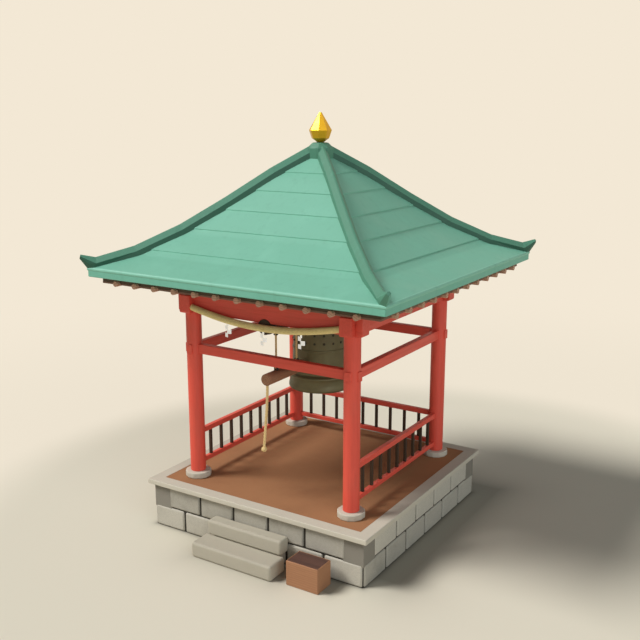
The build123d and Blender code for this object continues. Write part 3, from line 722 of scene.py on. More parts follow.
@dataclass(frozen=True)
class Lay:
    """How a rope's strands lie: its radius, the length of a turn, the strands and the ends' taper."""

    radius: float
    turn_length: float
    strands: int = 3
    taper: float = 0.0
    plumpness: float = 1.12

    def swell(self, share: float) -> float:
        """Thickness at a share of the rope's length, against its thickest."""
        return 1 - self.taper + self.taper * sin(pi * min(share, 1.0))

    def form(self, name: str, path: Sequence[Vector], upright: Vector) -> Form:
        """Form of the strands twisted round a path.

        Args:
            name: Name of the rope.
            path: Points along the rope's axis.
            upright: Direction that never lies along the rope.

        Returns:
            The form.
        """
        curve = bpy.data.curves.new(name, "CURVE")
        curve.dimensions = "3D"
        strand_share = self.plumpness / (1 + 1 / sin(pi / self.strands))
        curve.bevel_depth = self.radius * strand_share
        curve.bevel_resolution = 3
        curve.use_fill_caps = True
        total = path_length(path)
        for strand in range(self.strands):
            spline = curve.splines.new("POLY")
            spline.points.add(len(path) - 1)
            walked = 0.0
            for index, place in enumerate(path):
                before = path[max(index - 1, 0)]
                after = path[min(index + 1, len(path) - 1)]
                ahead = (after - before).normalized()
                walked += (place - before).length
                swell = self.swell(walked / total)
                first = (upright - ahead * upright.dot(ahead)).normalized()
                second = ahead.cross(first)
                angle = tau * (walked / self.turn_length + strand / self.strands)
                reach = self.radius * (1 - strand_share) * swell
                spot = place + (first * cos(angle) + second * sin(angle)) * reach
                spline.points[index].co = (*spot, 1.0)
                spline.points[index].radius = swell
        holder = bpy.data.objects.new(name, curve)
        mesh = bpy.data.meshes.new_from_object(holder)
        form = bmesh.new()
        form.from_mesh(mesh)
        bpy.data.objects.remove(holder)
        bpy.data.meshes.remove(mesh)
        return form


@dataclass
class PullRope:
    """Rope that hangs from the striker, with a wound knot at its foot."""

    radius: float = 0.023
    turn_length: float = 0.15
    knot_radius: float = 0.046
    knot_drop: float = 0.0368
    knot_turns: int = 7
    turn_steps: int = 6
    knot_groove: float = 0.06

    ROUTE = ((0.0, -1.566, 2.725), (-0.003, -1.574, 2.420), (-0.012, -1.600, 2.130),
             (-0.020, -1.628, 1.860), (-0.026, -1.642, 1.6814))
    EXIT = (0.0, -1.567, 2.697)

    def build(self) -> None:
        path = points_along("pull_rope_route", self.ROUTE)
        form = Lay(self.radius, self.turn_length).form("twisted_pull_rope", path, ALONG_X)
        rope = make_piece(form, "twisted_pull_rope", HEMP, ["pull_rope"], Body.STRIKER, smooth=50.0)
        knot = self.knot(path[-1])

    def knot(self, end: Vector) -> bpy.types.Object:
        """Knot of wound turns below the rope's end.

        Args:
            end: End of the rope.

        Returns:
            The knot.
        """
        steps = self.turn_steps * self.knot_turns
        outline = [(0.0, -self.knot_radius)]
        for step in range(1, steps):
            angle = pi * step / steps
            bulge = self.knot_groove * (abs(sin(pi * step / self.turn_steps)) - 1)
            reach = self.knot_radius * (1 + bulge)
            outline.append((reach * sin(angle), -reach * cos(angle)))
        outline.append((0.0, self.knot_radius * (1 - self.knot_groove)))
        form = bmesh.new()
        add_lathe(form, outline, end - ALONG_Z * self.knot_drop, steps=32)
        return make_piece(form, "pull_rope_knot", HEMP, ["pull_rope_knob"], Body.STRIKER, smooth=60.0)


@dataclass
class StrawRope:
    """Twisted straw rope that sags across the front, with its folded paper streamers."""

    lay: Lay = Lay(0.055, 3.4, 22, 0.07)
    half_span: float = 1.41
    end_level: float = 3.812
    sag: float = 0.176
    depth: float = -1.674
    streamer_square: float = 0.07
    streamer_drop: float = 0.022
    streamer_step: float = 0.062
    streamer_shift: float = 0.0285
    streamer_leaves: int = 3
    leaf_stagger: float = 0.002
    leaf_curl: float = 0.006
    head_half_height: float = 0.034
    head_rise: float = 0.016
    fold: float = 16.0
    paper: float = 0.0012

    KNOTS = (-1.41, -1.06, -0.56, 0.0, 0.54, 1.04, 1.41)
    STREAMERS = (-0.68, 0.01, 0.712)

    def level(self, x: float) -> float:
        """Level of the rope's axis at a place along it."""
        return self.end_level - self.sag * (1 - (x / self.half_span) ** 2)

    def build(self) -> None:
        path = points_along("straw_rope_route", [(x, self.depth, self.level(x)) for x in self.KNOTS])
        form = self.lay.form("twisted_straw_rope", path, ALONG_Z)
        rope = make_piece(form, "twisted_straw_rope", STRAW, ["straw_rope"], smooth=50.0)
        self.streamers()

    def streamers(self) -> None:
        """Makes the folded paper zigzags that hang under the rope."""
        form = bmesh.new()
        half = self.streamer_square / 2
        for x in self.STREAMERS:
            foot = self.level(x) - self.streamer_drop - self.lay.radius
            head = Matrix.Translation((x, self.depth, foot + self.head_rise))
            self.add_leaf(form, head, half / 2, self.head_half_height, 0.0)
            for leaf in range(self.streamer_leaves):
                side = 1 if leaf % 2 else -1
                spot = (x + side * self.streamer_shift, self.depth + self.leaf_stagger * (leaf - 1),
                        foot - half - leaf * self.streamer_step)
                turn = Matrix.Rotation(radians(self.fold * side), 4, "Z")
                self.add_leaf(form, Matrix.Translation(spot) @ turn, half, half, self.leaf_curl * side)
        make_piece(form, "folded_streamers", WHITE_PAPER, ["paper_streamers"], smooth=20.0)

    def add_leaf(self, form: Form, place: Matrix, half_width: float, half_height: float,
                 curl: float) -> None:
        """Adds one leaf of paper.

        Args:
            form: Form that it is added to.
            place: Where it hangs.
            half_width: Half its width.
            half_height: Half its height.
            curl: How far its middle stands out.
        """
        size = Matrix.Diagonal((half_width, half_height, 1.0, 1.0))
        stand = Matrix.Rotation(pi / 2, 4, "X")
        made = bmesh.ops.create_grid(form, x_segments=4, y_segments=4, size=1.0)
        for corner in made["verts"]:
            corner.co.z += curl * (1 - corner.co.x ** 2)
        bmesh.ops.transform(form, matrix=place @ stand @ size, verts=made["verts"])
        faces = list({face for corner in made["verts"] for face in corner.link_faces})
        bmesh.ops.solidify(form, geom=faces, thickness=self.paper)


# ------------------------------------------------------------------ podium and steps
@dataclass
class Podium:
    """Stone podium: coursed blocks, corner piers, coping, clay floor, two steps and base stones."""

    side: float = 4.106
    blocks: int = 6
    foot: float = 0.009
    lower_height: float = 0.373
    upper_height: float = 0.375
    facing: float = 0.025
    bond: float = 0.06
    joint: float = 0.04
    bed: float = 0.022
    block_edge: float = 0.028
    bond_shift: float = 0.03
    corner_notch: float = 0.012
    tone_swing: float = 0.1
    tone_beat: float = 12.9
    side_beats: int = 7
    level_beat: float = 40.0
    pier_recess: float = 0.01
    pier_sink: float = 0.001
    pier_edge: float = 0.008
    coping_edge: float = 0.007
    step_edge: float = 0.04
    stone_radius: float = 0.222
    stone_sides: int = 12
    stone_edge: float = 0.018

    # Painted shade of the blocks on each side, front, right, back and left, given as tone: a higher tone is
    # darker. The front of the upper course is painted darkest, as if in the coping's shadow.
    LOWER_TONES = (0.23, 0.48, 0.43, 0.38)
    UPPER_TONES = (0.68, 0.06, 0.3, 0.47)

    def __post_init__(self) -> None:
        """Works out the level of the top, half the side and the length of a block."""
        self.top = self.lower_height + self.upper_height
        self.half = self.side / 2
        self.pitch = self.side / self.blocks

    def build(self, frame: dict) -> None:
        """Makes the podium.

        Args:
            frame: The loaded frame.
        """
        self.lower_course()
        self.upper_course()
        self.piers()
        CORE_STONE.dress(frame["nodes"]["podium_core"])
        FLOOR_CLAY.dress(frame["nodes"]["floor_slab"])
        soften_node(frame, "podium_coping", PALE_STONE, self.coping_edge)
        self.step("step_upper")
        self.step("step_lower")
        PALE_STONE.dress(frame["nodes"]["step_bearer"])
        self.base_stones()

    def lower_course(self) -> None:
        """Makes the lower course, whose end blocks stop short of the corners."""
        inner = [self.pitch * index - self.half for index in range(1, self.blocks)]
        end = self.half - self.facing - self.corner_notch
        self.course("lower_blocks", "podium_lower_course", (self.foot, self.lower_height),
                    [-end, *inner, end], self.LOWER_TONES)

    def upper_course(self) -> None:
        """Makes the upper course, half a block out of step with the lower one."""
        joints = [self.pitch * (index + 0.5) - self.half for index in range(self.blocks)]
        self.course("upper_blocks", "podium_upper_course", (self.lower_height + self.bed / 2, self.top),
                    joints, self.UPPER_TONES)

    def course(self, name: str, node: str, levels: tuple[float, float], joints: list[float],
               tones: Sequence[float]) -> None:
        """Makes one course of blocks on all four sides.

        Args:
            name: Name of the piece.
            node: Node that it replaces.
            levels: Levels of its foot and top.
            joints: Places of the joints along a side.
            tones: Painted shade of the stone on each side, given as its tone.
        """
        form = bmesh.new()
        low, high = levels
        gap = self.joint / 2
        depth = self.facing + self.bond
        for side in Side:
            shift = -self.bond_shift if side.lies_crosswise else self.bond_shift
            for index, (start, end) in enumerate(zip(joints, joints[1:])):
                left = start + (gap + shift if index else 0.0)
                right = end - (gap - shift if index < len(joints) - 2 else 0.0)
                beat = self.tone_beat * (index + self.side_beats * side.value) + self.level_beat * low
                # Painted shade for this side, with a small random swing.
                tone = tones[side.value] + self.tone_swing * sin(beat)
                corners = add_block(form, (left, -self.half, low),
                                    (right, depth - self.half, high - self.bed / 2),
                                    self.block_edge, tone=tone)
                side.take(form, corners)
        make_piece(form, name, BLOCK_STONE, [node])

    def piers(self) -> None:
        """Makes the corner piers, set back a little from the upper course."""
        form = bmesh.new()
        face = self.half - self.pier_recess
        inner = self.half - self.pitch / 2 - self.bond_shift
        for side in Side:
            corners = add_block(form, (inner, -face, self.lower_height - self.joint),
                                (face, -inner, self.top - self.pier_sink), self.pier_edge, 2)
            side.take(form, corners)
        make_piece(form, "corner_piers", PIER_STONE)

    def step(self, node: str) -> None:
        """Makes one step with broad rounded edges.

        Args:
            node: Node that it replaces.
        """
        form = bmesh.new()
        add_block(form, *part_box(node), self.step_edge, 5)
        make_piece(form, f"worn_{node}", STEP_STONE, [node])

    def base_stones(self) -> None:
        """Makes the four many-sided stones under the pillars."""
        form = bmesh.new()
        low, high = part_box("pillar_base_stones")
        radius = self.stone_radius
        height = high.z - low.z
        turn = Matrix.Rotation(pi / self.stone_sides, 4, "Z")
        for x in (low.x + radius, high.x - radius):
            for y in (low.y + radius, high.y - radius):
                place = Matrix.Translation((x, y, low.z + height / 2)) @ turn
                made = bmesh.ops.create_cone(form, cap_ends=True, cap_tris=False, depth=height,
                                             segments=self.stone_sides, radius1=radius, radius2=radius,
                                             matrix=place)
                edges = {line for corner in made["verts"] for line in corner.link_edges}
                round_edges(form, edges, self.stone_edge, 3)
        make_piece(form, "hewn_base_stones", PALE_STONE, ["pillar_base_stones"])


# ------------------------------------------------------------------ timber frame
@dataclass
class TimberFrame:
    """Pillars, beams, rails, rafters, the boarded ceiling and the laths at its edges."""

    pillar_radius: float = 0.13
    pillar_edge: float = 0.008
    beam_edge: float = 0.01
    rail_edge: float = 0.009
    baluster_edge: float = 0.004
    board_width: float = 0.21
    board_gap: float = 0.006
    board_edge: float = 0.003
    lath_width: float = 0.06
    lath_drop: float = 0.03
    lath_edge: float = 0.004
    lath_hold: float = 0.001

    def build(self, frame: dict) -> None:
        """Makes the timber frame.

        Args:
            frame: The loaded frame.
        """
        for corner in CORNERS:
            self.pillar(f"pillar_{corner}")
        for side in Side:
            red = RED_CROSSWISE if side.lies_crosswise else RED_LENGTHWISE
            soften_node(frame, f"tie_beam_{side.word}", red, self.beam_edge)
            soften_node(frame, f"head_beam_{side.word}", red, self.beam_edge)
            if side is not Side.FRONT:
                soften_node(frame, f"railing_{side.word}_rails", red, self.rail_edge)
                soften_node(frame, f"railing_{side.word}_balusters", DARK_UPRIGHT, self.baluster_edge)
        soften_node(frame, "wall_plate", RED_CROSSWISE, self.beam_edge)
        for side in Side:
            wood = RAFTER_LENGTHWISE if side.lies_crosswise else RAFTER_CROSSWISE
            soften_node(frame, f"rafters_{side.word}", wood, 0.0, smooth=40.0)
        self.ceiling()
        self.laths()

    def pillar(self, node: str) -> None:
        """Makes one round pillar, up to the foot of the higher head beams.

        Args:
            node: Node that it replaces.
        """
        low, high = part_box(node)
        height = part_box("head_beam_right")[0].z - low.z
        radius, edge = self.pillar_radius, self.pillar_edge
        form = bmesh.new()
        add_lathe(form, [(0.0, 0.0), (radius - edge, 0.0), (radius, edge), (radius, height), (0.0, height)],
                  ((low.x + high.x) / 2, (low.y + high.y) / 2, low.z), steps=64)
        make_piece(form, f"round_{node}", RED_UPRIGHT, [node], smooth=35.0)

    def ceiling(self) -> None:
        """Makes the boards that lie on the rafters."""
        low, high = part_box("ceiling_board")
        count = round((high.y - low.y) / self.board_width)
        width = (high.y - low.y) / count
        gap = self.board_gap / 2
        form = bmesh.new()
        for index in range(count):
            start = low.y + index * width
            add_block(form, (low.x, start + gap, low.z), (high.x, start + width - gap, high.z),
                      self.board_edge, 1)
        make_piece(form, "ceiling_boards", DARK_BOARD, ["ceiling_board"])

    def laths(self) -> None:
        """Makes the laths under the edges of the ceiling."""
        low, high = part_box("ceiling_board")
        form = bmesh.new()
        for side in Side:
            corners = add_block(form, (low.x + self.lath_width, low.y, low.z - self.lath_drop),
                                (high.x, low.y + self.lath_width, low.z + self.lath_hold),
                                self.lath_edge, 2)
            side.take(form, corners)
        make_piece(form, "eave_laths", LATH_WOOD)


# ------------------------------------------------------------------ roof
@dataclass
class Roof:
    """Bent hipped roof: lapped copper courses, hip ridges with horns, cap and gilded finial."""

    lap: float = 0.021
    sheet: float = 0.02
    course_gap: float = 0.02
    course_rise: float = 0.001
    eave_inset: float = 0.002
    overhang: float = 0.2
    fold_depth: float = 0.006
    fold_rise: float = 0.0012
    fold_drop: float = 0.004
    edge: float = 0.01
    bend_reach: float = 0.035
    bend_steps: int = 4
    bead: float = 0.032
    bead_inset: float = 0.7
    bead_drop: float = 0.1
    ridge_half: float = 0.1025
    horn_foot: float = 0.08
    ridge_foot: float = 0.115
    ridge_draw: float = 0.8
    ridge_edge: float = 0.006
    ridge_sharp: float = 28.0
    foot_share: float = 0.9
    underside_tilt: float = -0.2
    flank_tilt: float = 0.1
    flank_lean: float = 0.5
    horn_start: float = 2.575
    horn_slope: float = 2.0
    cap_edge: float = 0.012
    finial_edge: float = 0.003

    BENDS = ((2.675, 4.472), (2.155, 4.668), (1.635, 4.992), (1.11, 5.4125), (0.585, 5.865), (0.12, 6.214))
    LAPS = (2.03, 1.545, 1.18, 0.83, 0.49)
    TOP_LAP = 0.15
    NEAR_RIDGE = "hip_ridge_front_right"

    def __post_init__(self) -> None:
        """Takes the eave's distance from the axis and its level from the first bend."""
        self.eave_half, self.eave_level = self.BENDS[0]

    def level(self, distance: float) -> float:
        """Level of the roof's surface, or of the horns' underside past the eave.

        Args:
            distance: Distance from the axis.

        Returns:
            The level in metres.
        """
        if distance > self.eave_half:
            return self.eave_level + self.horn_slope * (distance - self.eave_half)
        for (outer, low), (inner, high) in zip(self.BENDS, self.BENDS[1:]):
            if distance >= inner:
                break
        return high + (low - high) * (distance - inner) / (outer - inner)

    def section(self, start: float, end: float) -> list[tuple[float, float]]:
        """Section of the surface between two distances, its bends rounded.

        Args:
            start: Distance of its lower edge from the axis.
            end: Distance of its upper edge from the axis.

        Returns:
            Points as (distance, level), from the lower edge up.
        """
        points = [(start, self.level(start))]
        reach = self.bend_reach
        for bend, level in self.BENDS[1:-1]:
            if end + reach < bend < start - reach:
                for step in range(self.bend_steps + 1):
                    share = step / self.bend_steps
                    outer = self.level(bend + reach) * (1 - share) ** 2
                    inner = self.level(bend - reach) * share ** 2
                    rounded = outer + 2 * share * (1 - share) * level + inner
                    points.append((bend + reach * (1 - 2 * share), rounded))
        return [*points, (end, self.level(end))]

    def build(self, frame: dict) -> None:
        """Makes the roof.

        Args:
            frame: The loaded frame.
        """
        for side in Side:
            soften_node(frame, f"roof_panel_{side.word}", EAVE_COPPER, self.edge)
            self.courses(side)
            self.eave_bead(side)
        for corner in CORNERS:
            self.ridge(frame, f"hip_ridge_{corner}")
        soften_node(frame, "roof_cap", RIDGE_COPPER, self.cap_edge)
        soften_node(frame, "finial", GILDING, self.finial_edge)

    def ridge(self, frame: dict, node: str) -> None:
        """Makes one hip ridge, drawn in across its line, with feet that spread over the roof.

        Args:
            frame: The loaded frame.
            node: Node that it replaces.
        """
        form = copy_of_node(frame, node)
        low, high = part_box(node)
        along = Vector((low.x + high.x, low.y + high.y, 0)).normalized()
        across = Vector((-along.y, along.x, 0))
        self.set_feet(form, across)
        for corner in form.verts:
            corner.co -= across * corner.co.dot(across) * (1 - self.ridge_draw)
        bmesh.ops.connect_verts_nonplanar(form, angle_limit=radians(0.5), faces=form.faces[:])
        # Flank faces get tone 1, which paints them in the ridge finish's flank colour: painted shade on
        # both flanks of the other ridges, painted light on the near ridge's right flank only.
        near = node == self.NEAR_RIDGE
        tone = form.faces.layers.float.new(TONE)
        for face in form.faces:
            face.smooth = False
            face.normal_update()
            lean = face.normal.dot(across)
            leans_out = (lean if near else abs(lean)) > self.flank_lean
            face[tone] = float(leans_out and face.normal.z < self.flank_tilt)
        round_edges(form, sharp_edges(form, self.ridge_sharp), self.ridge_edge, 2)
        make_piece(form, f"copper_{node}", NEAR_RIDGE_COPPER if near else RIDGE_COPPER, [node])

    def set_feet(self, form: Form, across: Vector) -> None:
        """Sets the feet of a ridge's sides out along the roof, and in under its horn.

        Args:
            form: Copy of the ridge.
            across: Direction across the ridge.
        """
        feet = [corner for corner in form.verts
                if abs(corner.co.dot(across)) > self.foot_share * self.ridge_half
                and any(face.normal.z < self.underside_tilt for face in corner.link_faces)]
        for corner in feet:
            side = 1 if corner.co.dot(across) > 0 else -1
            on_horn = max(abs(corner.co.x), abs(corner.co.y)) > self.horn_start
            foot = self.horn_foot if on_horn else self.ridge_foot
            corner.co += across * side * (foot - self.ridge_half)
            corner.co.z = self.level(max(abs(corner.co.x), abs(corner.co.y)))

    def courses(self, side: Side) -> None:
        """Makes the lapped courses of one side.

        Args:
            side: Side of the roof.
        """
        form = bmesh.new()
        edges = (self.eave_half - self.eave_inset, *self.LAPS, self.TOP_LAP)
        for start, end in zip(edges, edges[1:]):
            self.course(form, start, end - self.course_gap)
        self.mitre(form)
        side.take(form, form.verts)
        make_piece(form, f"copper_courses_{side.word}", COPPER)

    def course(self, form: Form, start: float, end: float) -> None:
        """Adds one course across the front, longer than the roof is wide.

        Args:
            form: Form that it is added to.
            start: Distance of its lower edge from the axis.
            end: Distance of its upper edge from the axis.
        """
        section = self.section(start, end)
        rise = self.lap / (start - end)
        reach = self.eave_half + self.overhang
        top = [Vector((-reach, -distance, level + rise * (distance - end) + self.course_rise))
               for distance, level in section]
        under = [Vector((-reach, -distance, level - self.sheet)) for distance, level in reversed(section)]
        fold = top[0] + Vector((0, self.fold_depth, self.fold_rise))
        drop = top[0] + Vector((0, 0, -self.fold_drop))
        face = form.faces.new([form.verts.new(place) for place in (drop, fold, *top[1:], *under)])
        made = bmesh.ops.extrude_face_region(form, geom=[face])
        bmesh.ops.translate(form, vec=(2 * reach, 0, 0), verts=moved_corners(made))

    def eave_bead(self, side: Side) -> None:
        """Makes the rolled bead along the eave of one side.

        Args:
            side: Side of the roof.
        """
        form = bmesh.new()
        reach = self.eave_half + self.overhang
        start = (-reach, self.bead * self.bead_inset - self.eave_half,
                 self.eave_level - self.bead * self.bead_drop)
        outline = [(0.0, 0.0), (self.bead, 0.0), (self.bead, 2 * reach), (0.0, 2 * reach)]
        add_lathe(form, outline, start, steps=24, axis=ALONG_X)
        self.mitre(form)
        side.take(form, form.verts)
        # Its finish is painted lighter than the courses, as a painted highlight.
        make_piece(form, f"eave_bead_{side.word}", BEAD_COPPER_PAINTED_HIGHLIGHT, smooth=40.0)

    @staticmethod
    def mitre(form: Form) -> None:
        """Cuts a form made across the front to the front quarter of the roof.

        Args:
            form: The form.
        """
        for turn in (45, 135):
            normal = Vector((cos(radians(turn)), sin(radians(turn)), 0))
            made = bmesh.ops.bisect_plane(form, geom=form.verts[:] + form.edges[:] + form.faces[:],
                                          dist=1e-6, plane_co=(0, 0, 0), plane_no=normal,
                                          clear_outer=True)
            cut = [item for item in made["geom_cut"] if isinstance(item, bmesh.types.BMEdge)]
            bmesh.ops.edgeloop_fill(form, edges=cut)


# ------------------------------------------------------------------ bell and striker
@dataclass
class Bell:
    """Bronze bell with its bands, lug and studs, the log that carries it and its iron."""

    mouth: float = 2.29
    height: float = 1.17
    lug_half: tuple[float, float] = (0.025, 0.075)
    lug_rise: float = 0.19
    lug_root: float = 0.02
    lug_edge: float = 0.012
    stud_columns: int = 18
    stud_turn: float = 10.0
    stud_rows: tuple[float, float] = (0.84, 0.98)
    stud_radius: float = 0.02
    stud_rise: float = 0.016
    boss_height: float = 0.5
    root_depth: float = 0.012
    iron_edge: float = 0.002
    strap_edge: float = 0.0015

    OUTSIDE = ((0.470, 0.0), (0.512, 0.0), (0.530, 0.006), (0.539, 0.020), (0.540, 0.040),
               (0.538, 0.075), (0.526, 0.100), (0.522, 0.120), (0.522, 0.190), (0.526, 0.205),
               (0.535, 0.222), (0.537, 0.236), (0.533, 0.250), (0.522, 0.262), (0.500, 0.274),
               (0.487, 0.286), (0.483, 0.300), (0.4815, 0.320), (0.487, 0.326), (0.487, 0.336),
               (0.481, 0.342), (0.4665, 0.688), (0.4755, 0.692), (0.478, 0.700), (0.478, 0.716),
               (0.4755, 0.724), (0.466, 0.728), (0.4585, 1.010), (0.464, 1.014), (0.464, 1.026),
               (0.457, 1.030), (0.4555, 1.050), (0.452, 1.085), (0.441, 1.115), (0.420, 1.138),
               (0.385, 1.152), (0.330, 1.161), (0.240, 1.167), (0.120, 1.170), (0.0, 1.170))
    INSIDE = ((0.0, 1.124), (0.150, 1.122), (0.300, 1.110), (0.380, 1.080), (0.409, 1.020),
              (0.415, 0.900), (0.432, 0.300), (0.440, 0.200), (0.462, 0.0), (0.470, 0.0))
    DOME = ((1.0, 0.0), (0.92, 0.45), (0.7, 0.8), (0.38, 0.96), (0.0, 1.0))
    BOSS = ((0.085, 0.006), (0.06, 0.011), (0.028, 0.014))

    def build(self, frame: dict) -> None:
        """Makes the bell.

        Args:
            frame: The loaded frame.
        """
        form = bmesh.new()
        add_lathe(form, self.OUTSIDE + self.INSIDE, (0, 0, self.mouth), steps=96)
        wide, deep = self.lug_half
        crown = self.mouth + self.height
        add_block(form, (-wide, -deep, crown - self.lug_root), (wide, deep, crown + self.lug_rise),
                  self.lug_edge)
        make_piece(form, "cast_bell", BRONZE, ["bell"], smooth=40.0)
        self.studs()
        self.boss()
        soften_node(frame, "bell_pin", IRON, self.iron_edge, smooth=40.0)
        soften_node(frame, "bell_beam", DARK_LOG, 0.0, smooth=40.0)
        soften_node(frame, "bell_beam_straps", IRON, self.strap_edge, smooth=35.0)
        soften_node(frame, "beam_clevises", IRON, self.iron_edge, smooth=35.0)

    def radius_at(self, above_mouth: float) -> float:
        """Outer radius of the bell at a height above its mouth.

        Args:
            above_mouth: The height.

        Returns:
            The radius.
        """
        for (low_radius, low), (high_radius, high) in zip(self.OUTSIDE, self.OUTSIDE[1:]):
            if low <= above_mouth < high:
                break
        return low_radius + (high_radius - low_radius) * (above_mouth - low) / (high - low)

    def studs(self) -> None:
        """Makes the rows of studs."""
        form = bmesh.new()
        for row in self.stud_rows:
            for column in range(self.stud_columns):
                angle = tau * column / self.stud_columns + radians(self.stud_turn)
                self.add_dome(form, row, angle, self.stud_radius, self.stud_rise)
        make_piece(form, "bell_studs", DARK_BRONZE, smooth=45.0)

    def boss(self) -> None:
        """Makes the round boss where the striker meets the bell."""
        form = bmesh.new()
        for radius, rise in self.BOSS:
            self.add_dome(form, self.boss_height, -pi / 2, radius, rise)
        make_piece(form, "striking_boss", BRONZE, smooth=45.0)

    def add_dome(self, form: Form, above_mouth: float, angle: float, radius: float, rise: float) -> None:
        """Adds a low dome on the bell's wall.

        Args:
            form: Form that it is added to.
            above_mouth: Height above the mouth.
            angle: Angle round the bell, from +X.
            radius: Radius of the dome.
            rise: How far it stands out.
        """
        out = Vector((cos(angle), sin(angle), 0))
        root = out * (self.radius_at(above_mouth) - self.root_depth)
        outline = [(0.0, 0.0), (radius, 0.0)]
        outline += [(radius * wide, self.root_depth + rise * high) for wide, high in self.DOME]
        add_lathe(form, outline, root + ALONG_Z * (self.mouth + above_mouth), steps=16, axis=out)


@dataclass
class Striker:
    """Striker log on two twisted ropes."""

    rope_lay: Lay = Lay(0.018, 0.11)
    rope_steps: int = 60
    eye_radius: float = 0.026
    eye_hole: float = 0.0095
    open_play: float = 0.001
    eye_steps: int = 12
    throat: float = 0.8
    upper_whipping: float = 0.02
    lower_whipping: float = 0.005
    upper_pin: float = 3.487
    lower_pin: float = 2.923
    front_rope: float = -1.32
    rear_rope: float = -0.737
    axis: float = 2.79
    radius: float = 0.095
    edge: float = 0.014
    edge_steps: int = 5
    iron_edge: float = 0.002

    WHIPPING = ((0.0, 0.0), (0.019, 0.0), (0.0195, 0.004), (0.0195, 0.011), (0.019, 0.015), (0.0, 0.015))

    def build(self, frame: dict) -> None:
        """Makes the striker.

        Args:
            frame: The loaded frame.
        """
        self.trunk()
        soften_node(frame, "striker_clevises", IRON, self.iron_edge, 35.0, Body.STRIKER)
        self.rope("suspension_rope_front", self.front_rope, self.eye_hole, Body.FRONT_ROPE)
        self.rope("suspension_rope_rear", self.rear_rope, self.eye_hole + self.open_play, Body.REAR_ROPE)

    def trunk(self) -> None:
        """Makes the log with rounded ends."""
        low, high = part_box("striker_log")
        length = high.y - low.y
        inner = self.radius - self.edge
        angles = [pi / 2 * step / self.edge_steps for step in range(self.edge_steps + 1)]
        outline = [(0.0, 0.0), (inner, 0.0)]
        outline += [(inner + self.edge * sin(angle), self.edge - self.edge * cos(angle))
                    for angle in angles[1:]]
        outline += [(inner + self.edge * cos(angle), length - self.edge + self.edge * sin(angle))
                    for angle in angles]
        form = bmesh.new()
        add_lathe(form, [*outline, (0.0, length)], (0, low.y, self.axis), steps=48, axis=ALONG_Y)
        make_piece(form, "striker_trunk", STRIKER_WOOD, ["striker_log"], Body.STRIKER, smooth=50.0)

    def rope(self, node: str, y: float, hole: float, body: Body) -> None:
        """Makes one suspension rope, with an eye and a whipping at each end.

        Args:
            node: Node that it replaces.
            y: Place of the rope.
            hole: Radius of the hole in each eye.
            body: Body that it rides on.
        """
        top = self.upper_pin - self.eye_radius * self.throat
        bottom = self.lower_pin + self.eye_radius * self.throat
        path = [Vector((0, y, bottom + (top - bottom) * step / self.rope_steps))
                for step in range(self.rope_steps + 1)]
        form = self.rope_lay.form(node, path, ALONG_X)
        thick = (self.eye_radius - hole) / 2
        angles = [tau * step / self.eye_steps for step in range(self.eye_steps + 1)]
        ring = [(hole + thick + thick * cos(angle), thick * sin(angle)) for angle in angles]
        for level in (self.upper_pin, self.lower_pin):
            add_lathe(form, ring, (0, y, level), steps=32, axis=ALONG_X)
        for level in (top - self.upper_whipping, bottom + self.lower_whipping):
            add_lathe(form, self.WHIPPING, (0, y, level), steps=24)
        make_piece(form, f"twisted_{node}", HEMP, [node], body, smooth=50.0)


# ------------------------------------------------------------------ offertory box
@dataclass
class OffertoryBox:
    """Small wooden box beside the steps, with a dark lid let into its rim."""

    edge: float = 0.014
    rim: float = 0.002
    sunk: float = 0.016
    lid_play: float = 0.004
    lid_drop: float = 0.003
    lid_edge: float = 0.003

    def build(self) -> None:
        """Makes the box and its lid."""
        form = bmesh.new()
        add_block(form, *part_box("offertory_box"), self.edge, 4)
        top = max(form.faces, key=lambda face: (face.normal.z > 0.9) * face.calc_area())
        bmesh.ops.inset_region(form, faces=[top], thickness=self.rim)
        made = bmesh.ops.extrude_face_region(form, geom=[top])
        bmesh.ops.delete(form, geom=[top], context="FACES")
        bmesh.ops.translate(form, vec=(0, 0, -self.sunk), verts=moved_corners(made))
        make_piece(form, "box_body", BOX_WOOD, ["offertory_box"])
        low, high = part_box("offertory_box_lid")
        play = Vector((self.lid_play, self.lid_play, 0))
        lid = bmesh.new()
        add_block(lid, low + play, high - play - Vector((0, 0, self.lid_drop)), self.lid_edge, 2)
        make_piece(lid, "box_lid", LID_WOOD, ["offertory_box_lid"])


# ------------------------------------------------------------------ stage
@dataclass(frozen=True)
class Lamp:
    """Broad far lamp.

    Its light travels at a heading from +X and comes down at an elevation, and its spread is how wide
    it seems, all in degrees.
    """

    name: str
    heading: float
    elevation: float
    strength: float
    spread: float
    tint: Point = (1.0, 1.0, 1.0)

    def light(self) -> None:
        """Adds the lamp to the scene."""
        data = bpy.data.lights.new(self.name, "SUN")
        data.color = self.tint
        data.energy = self.strength
        data.angle = radians(self.spread)
        lamp = bpy.data.objects.new(self.name, data)
        heading, elevation = radians(self.heading), radians(self.elevation)
        travel = Vector((cos(heading) * cos(elevation), sin(heading) * cos(elevation), -sin(elevation)))
        lamp.rotation_euler = travel.to_track_quat("-Z", "Y").to_euler()
        bpy.context.scene.collection.objects.link(lamp)


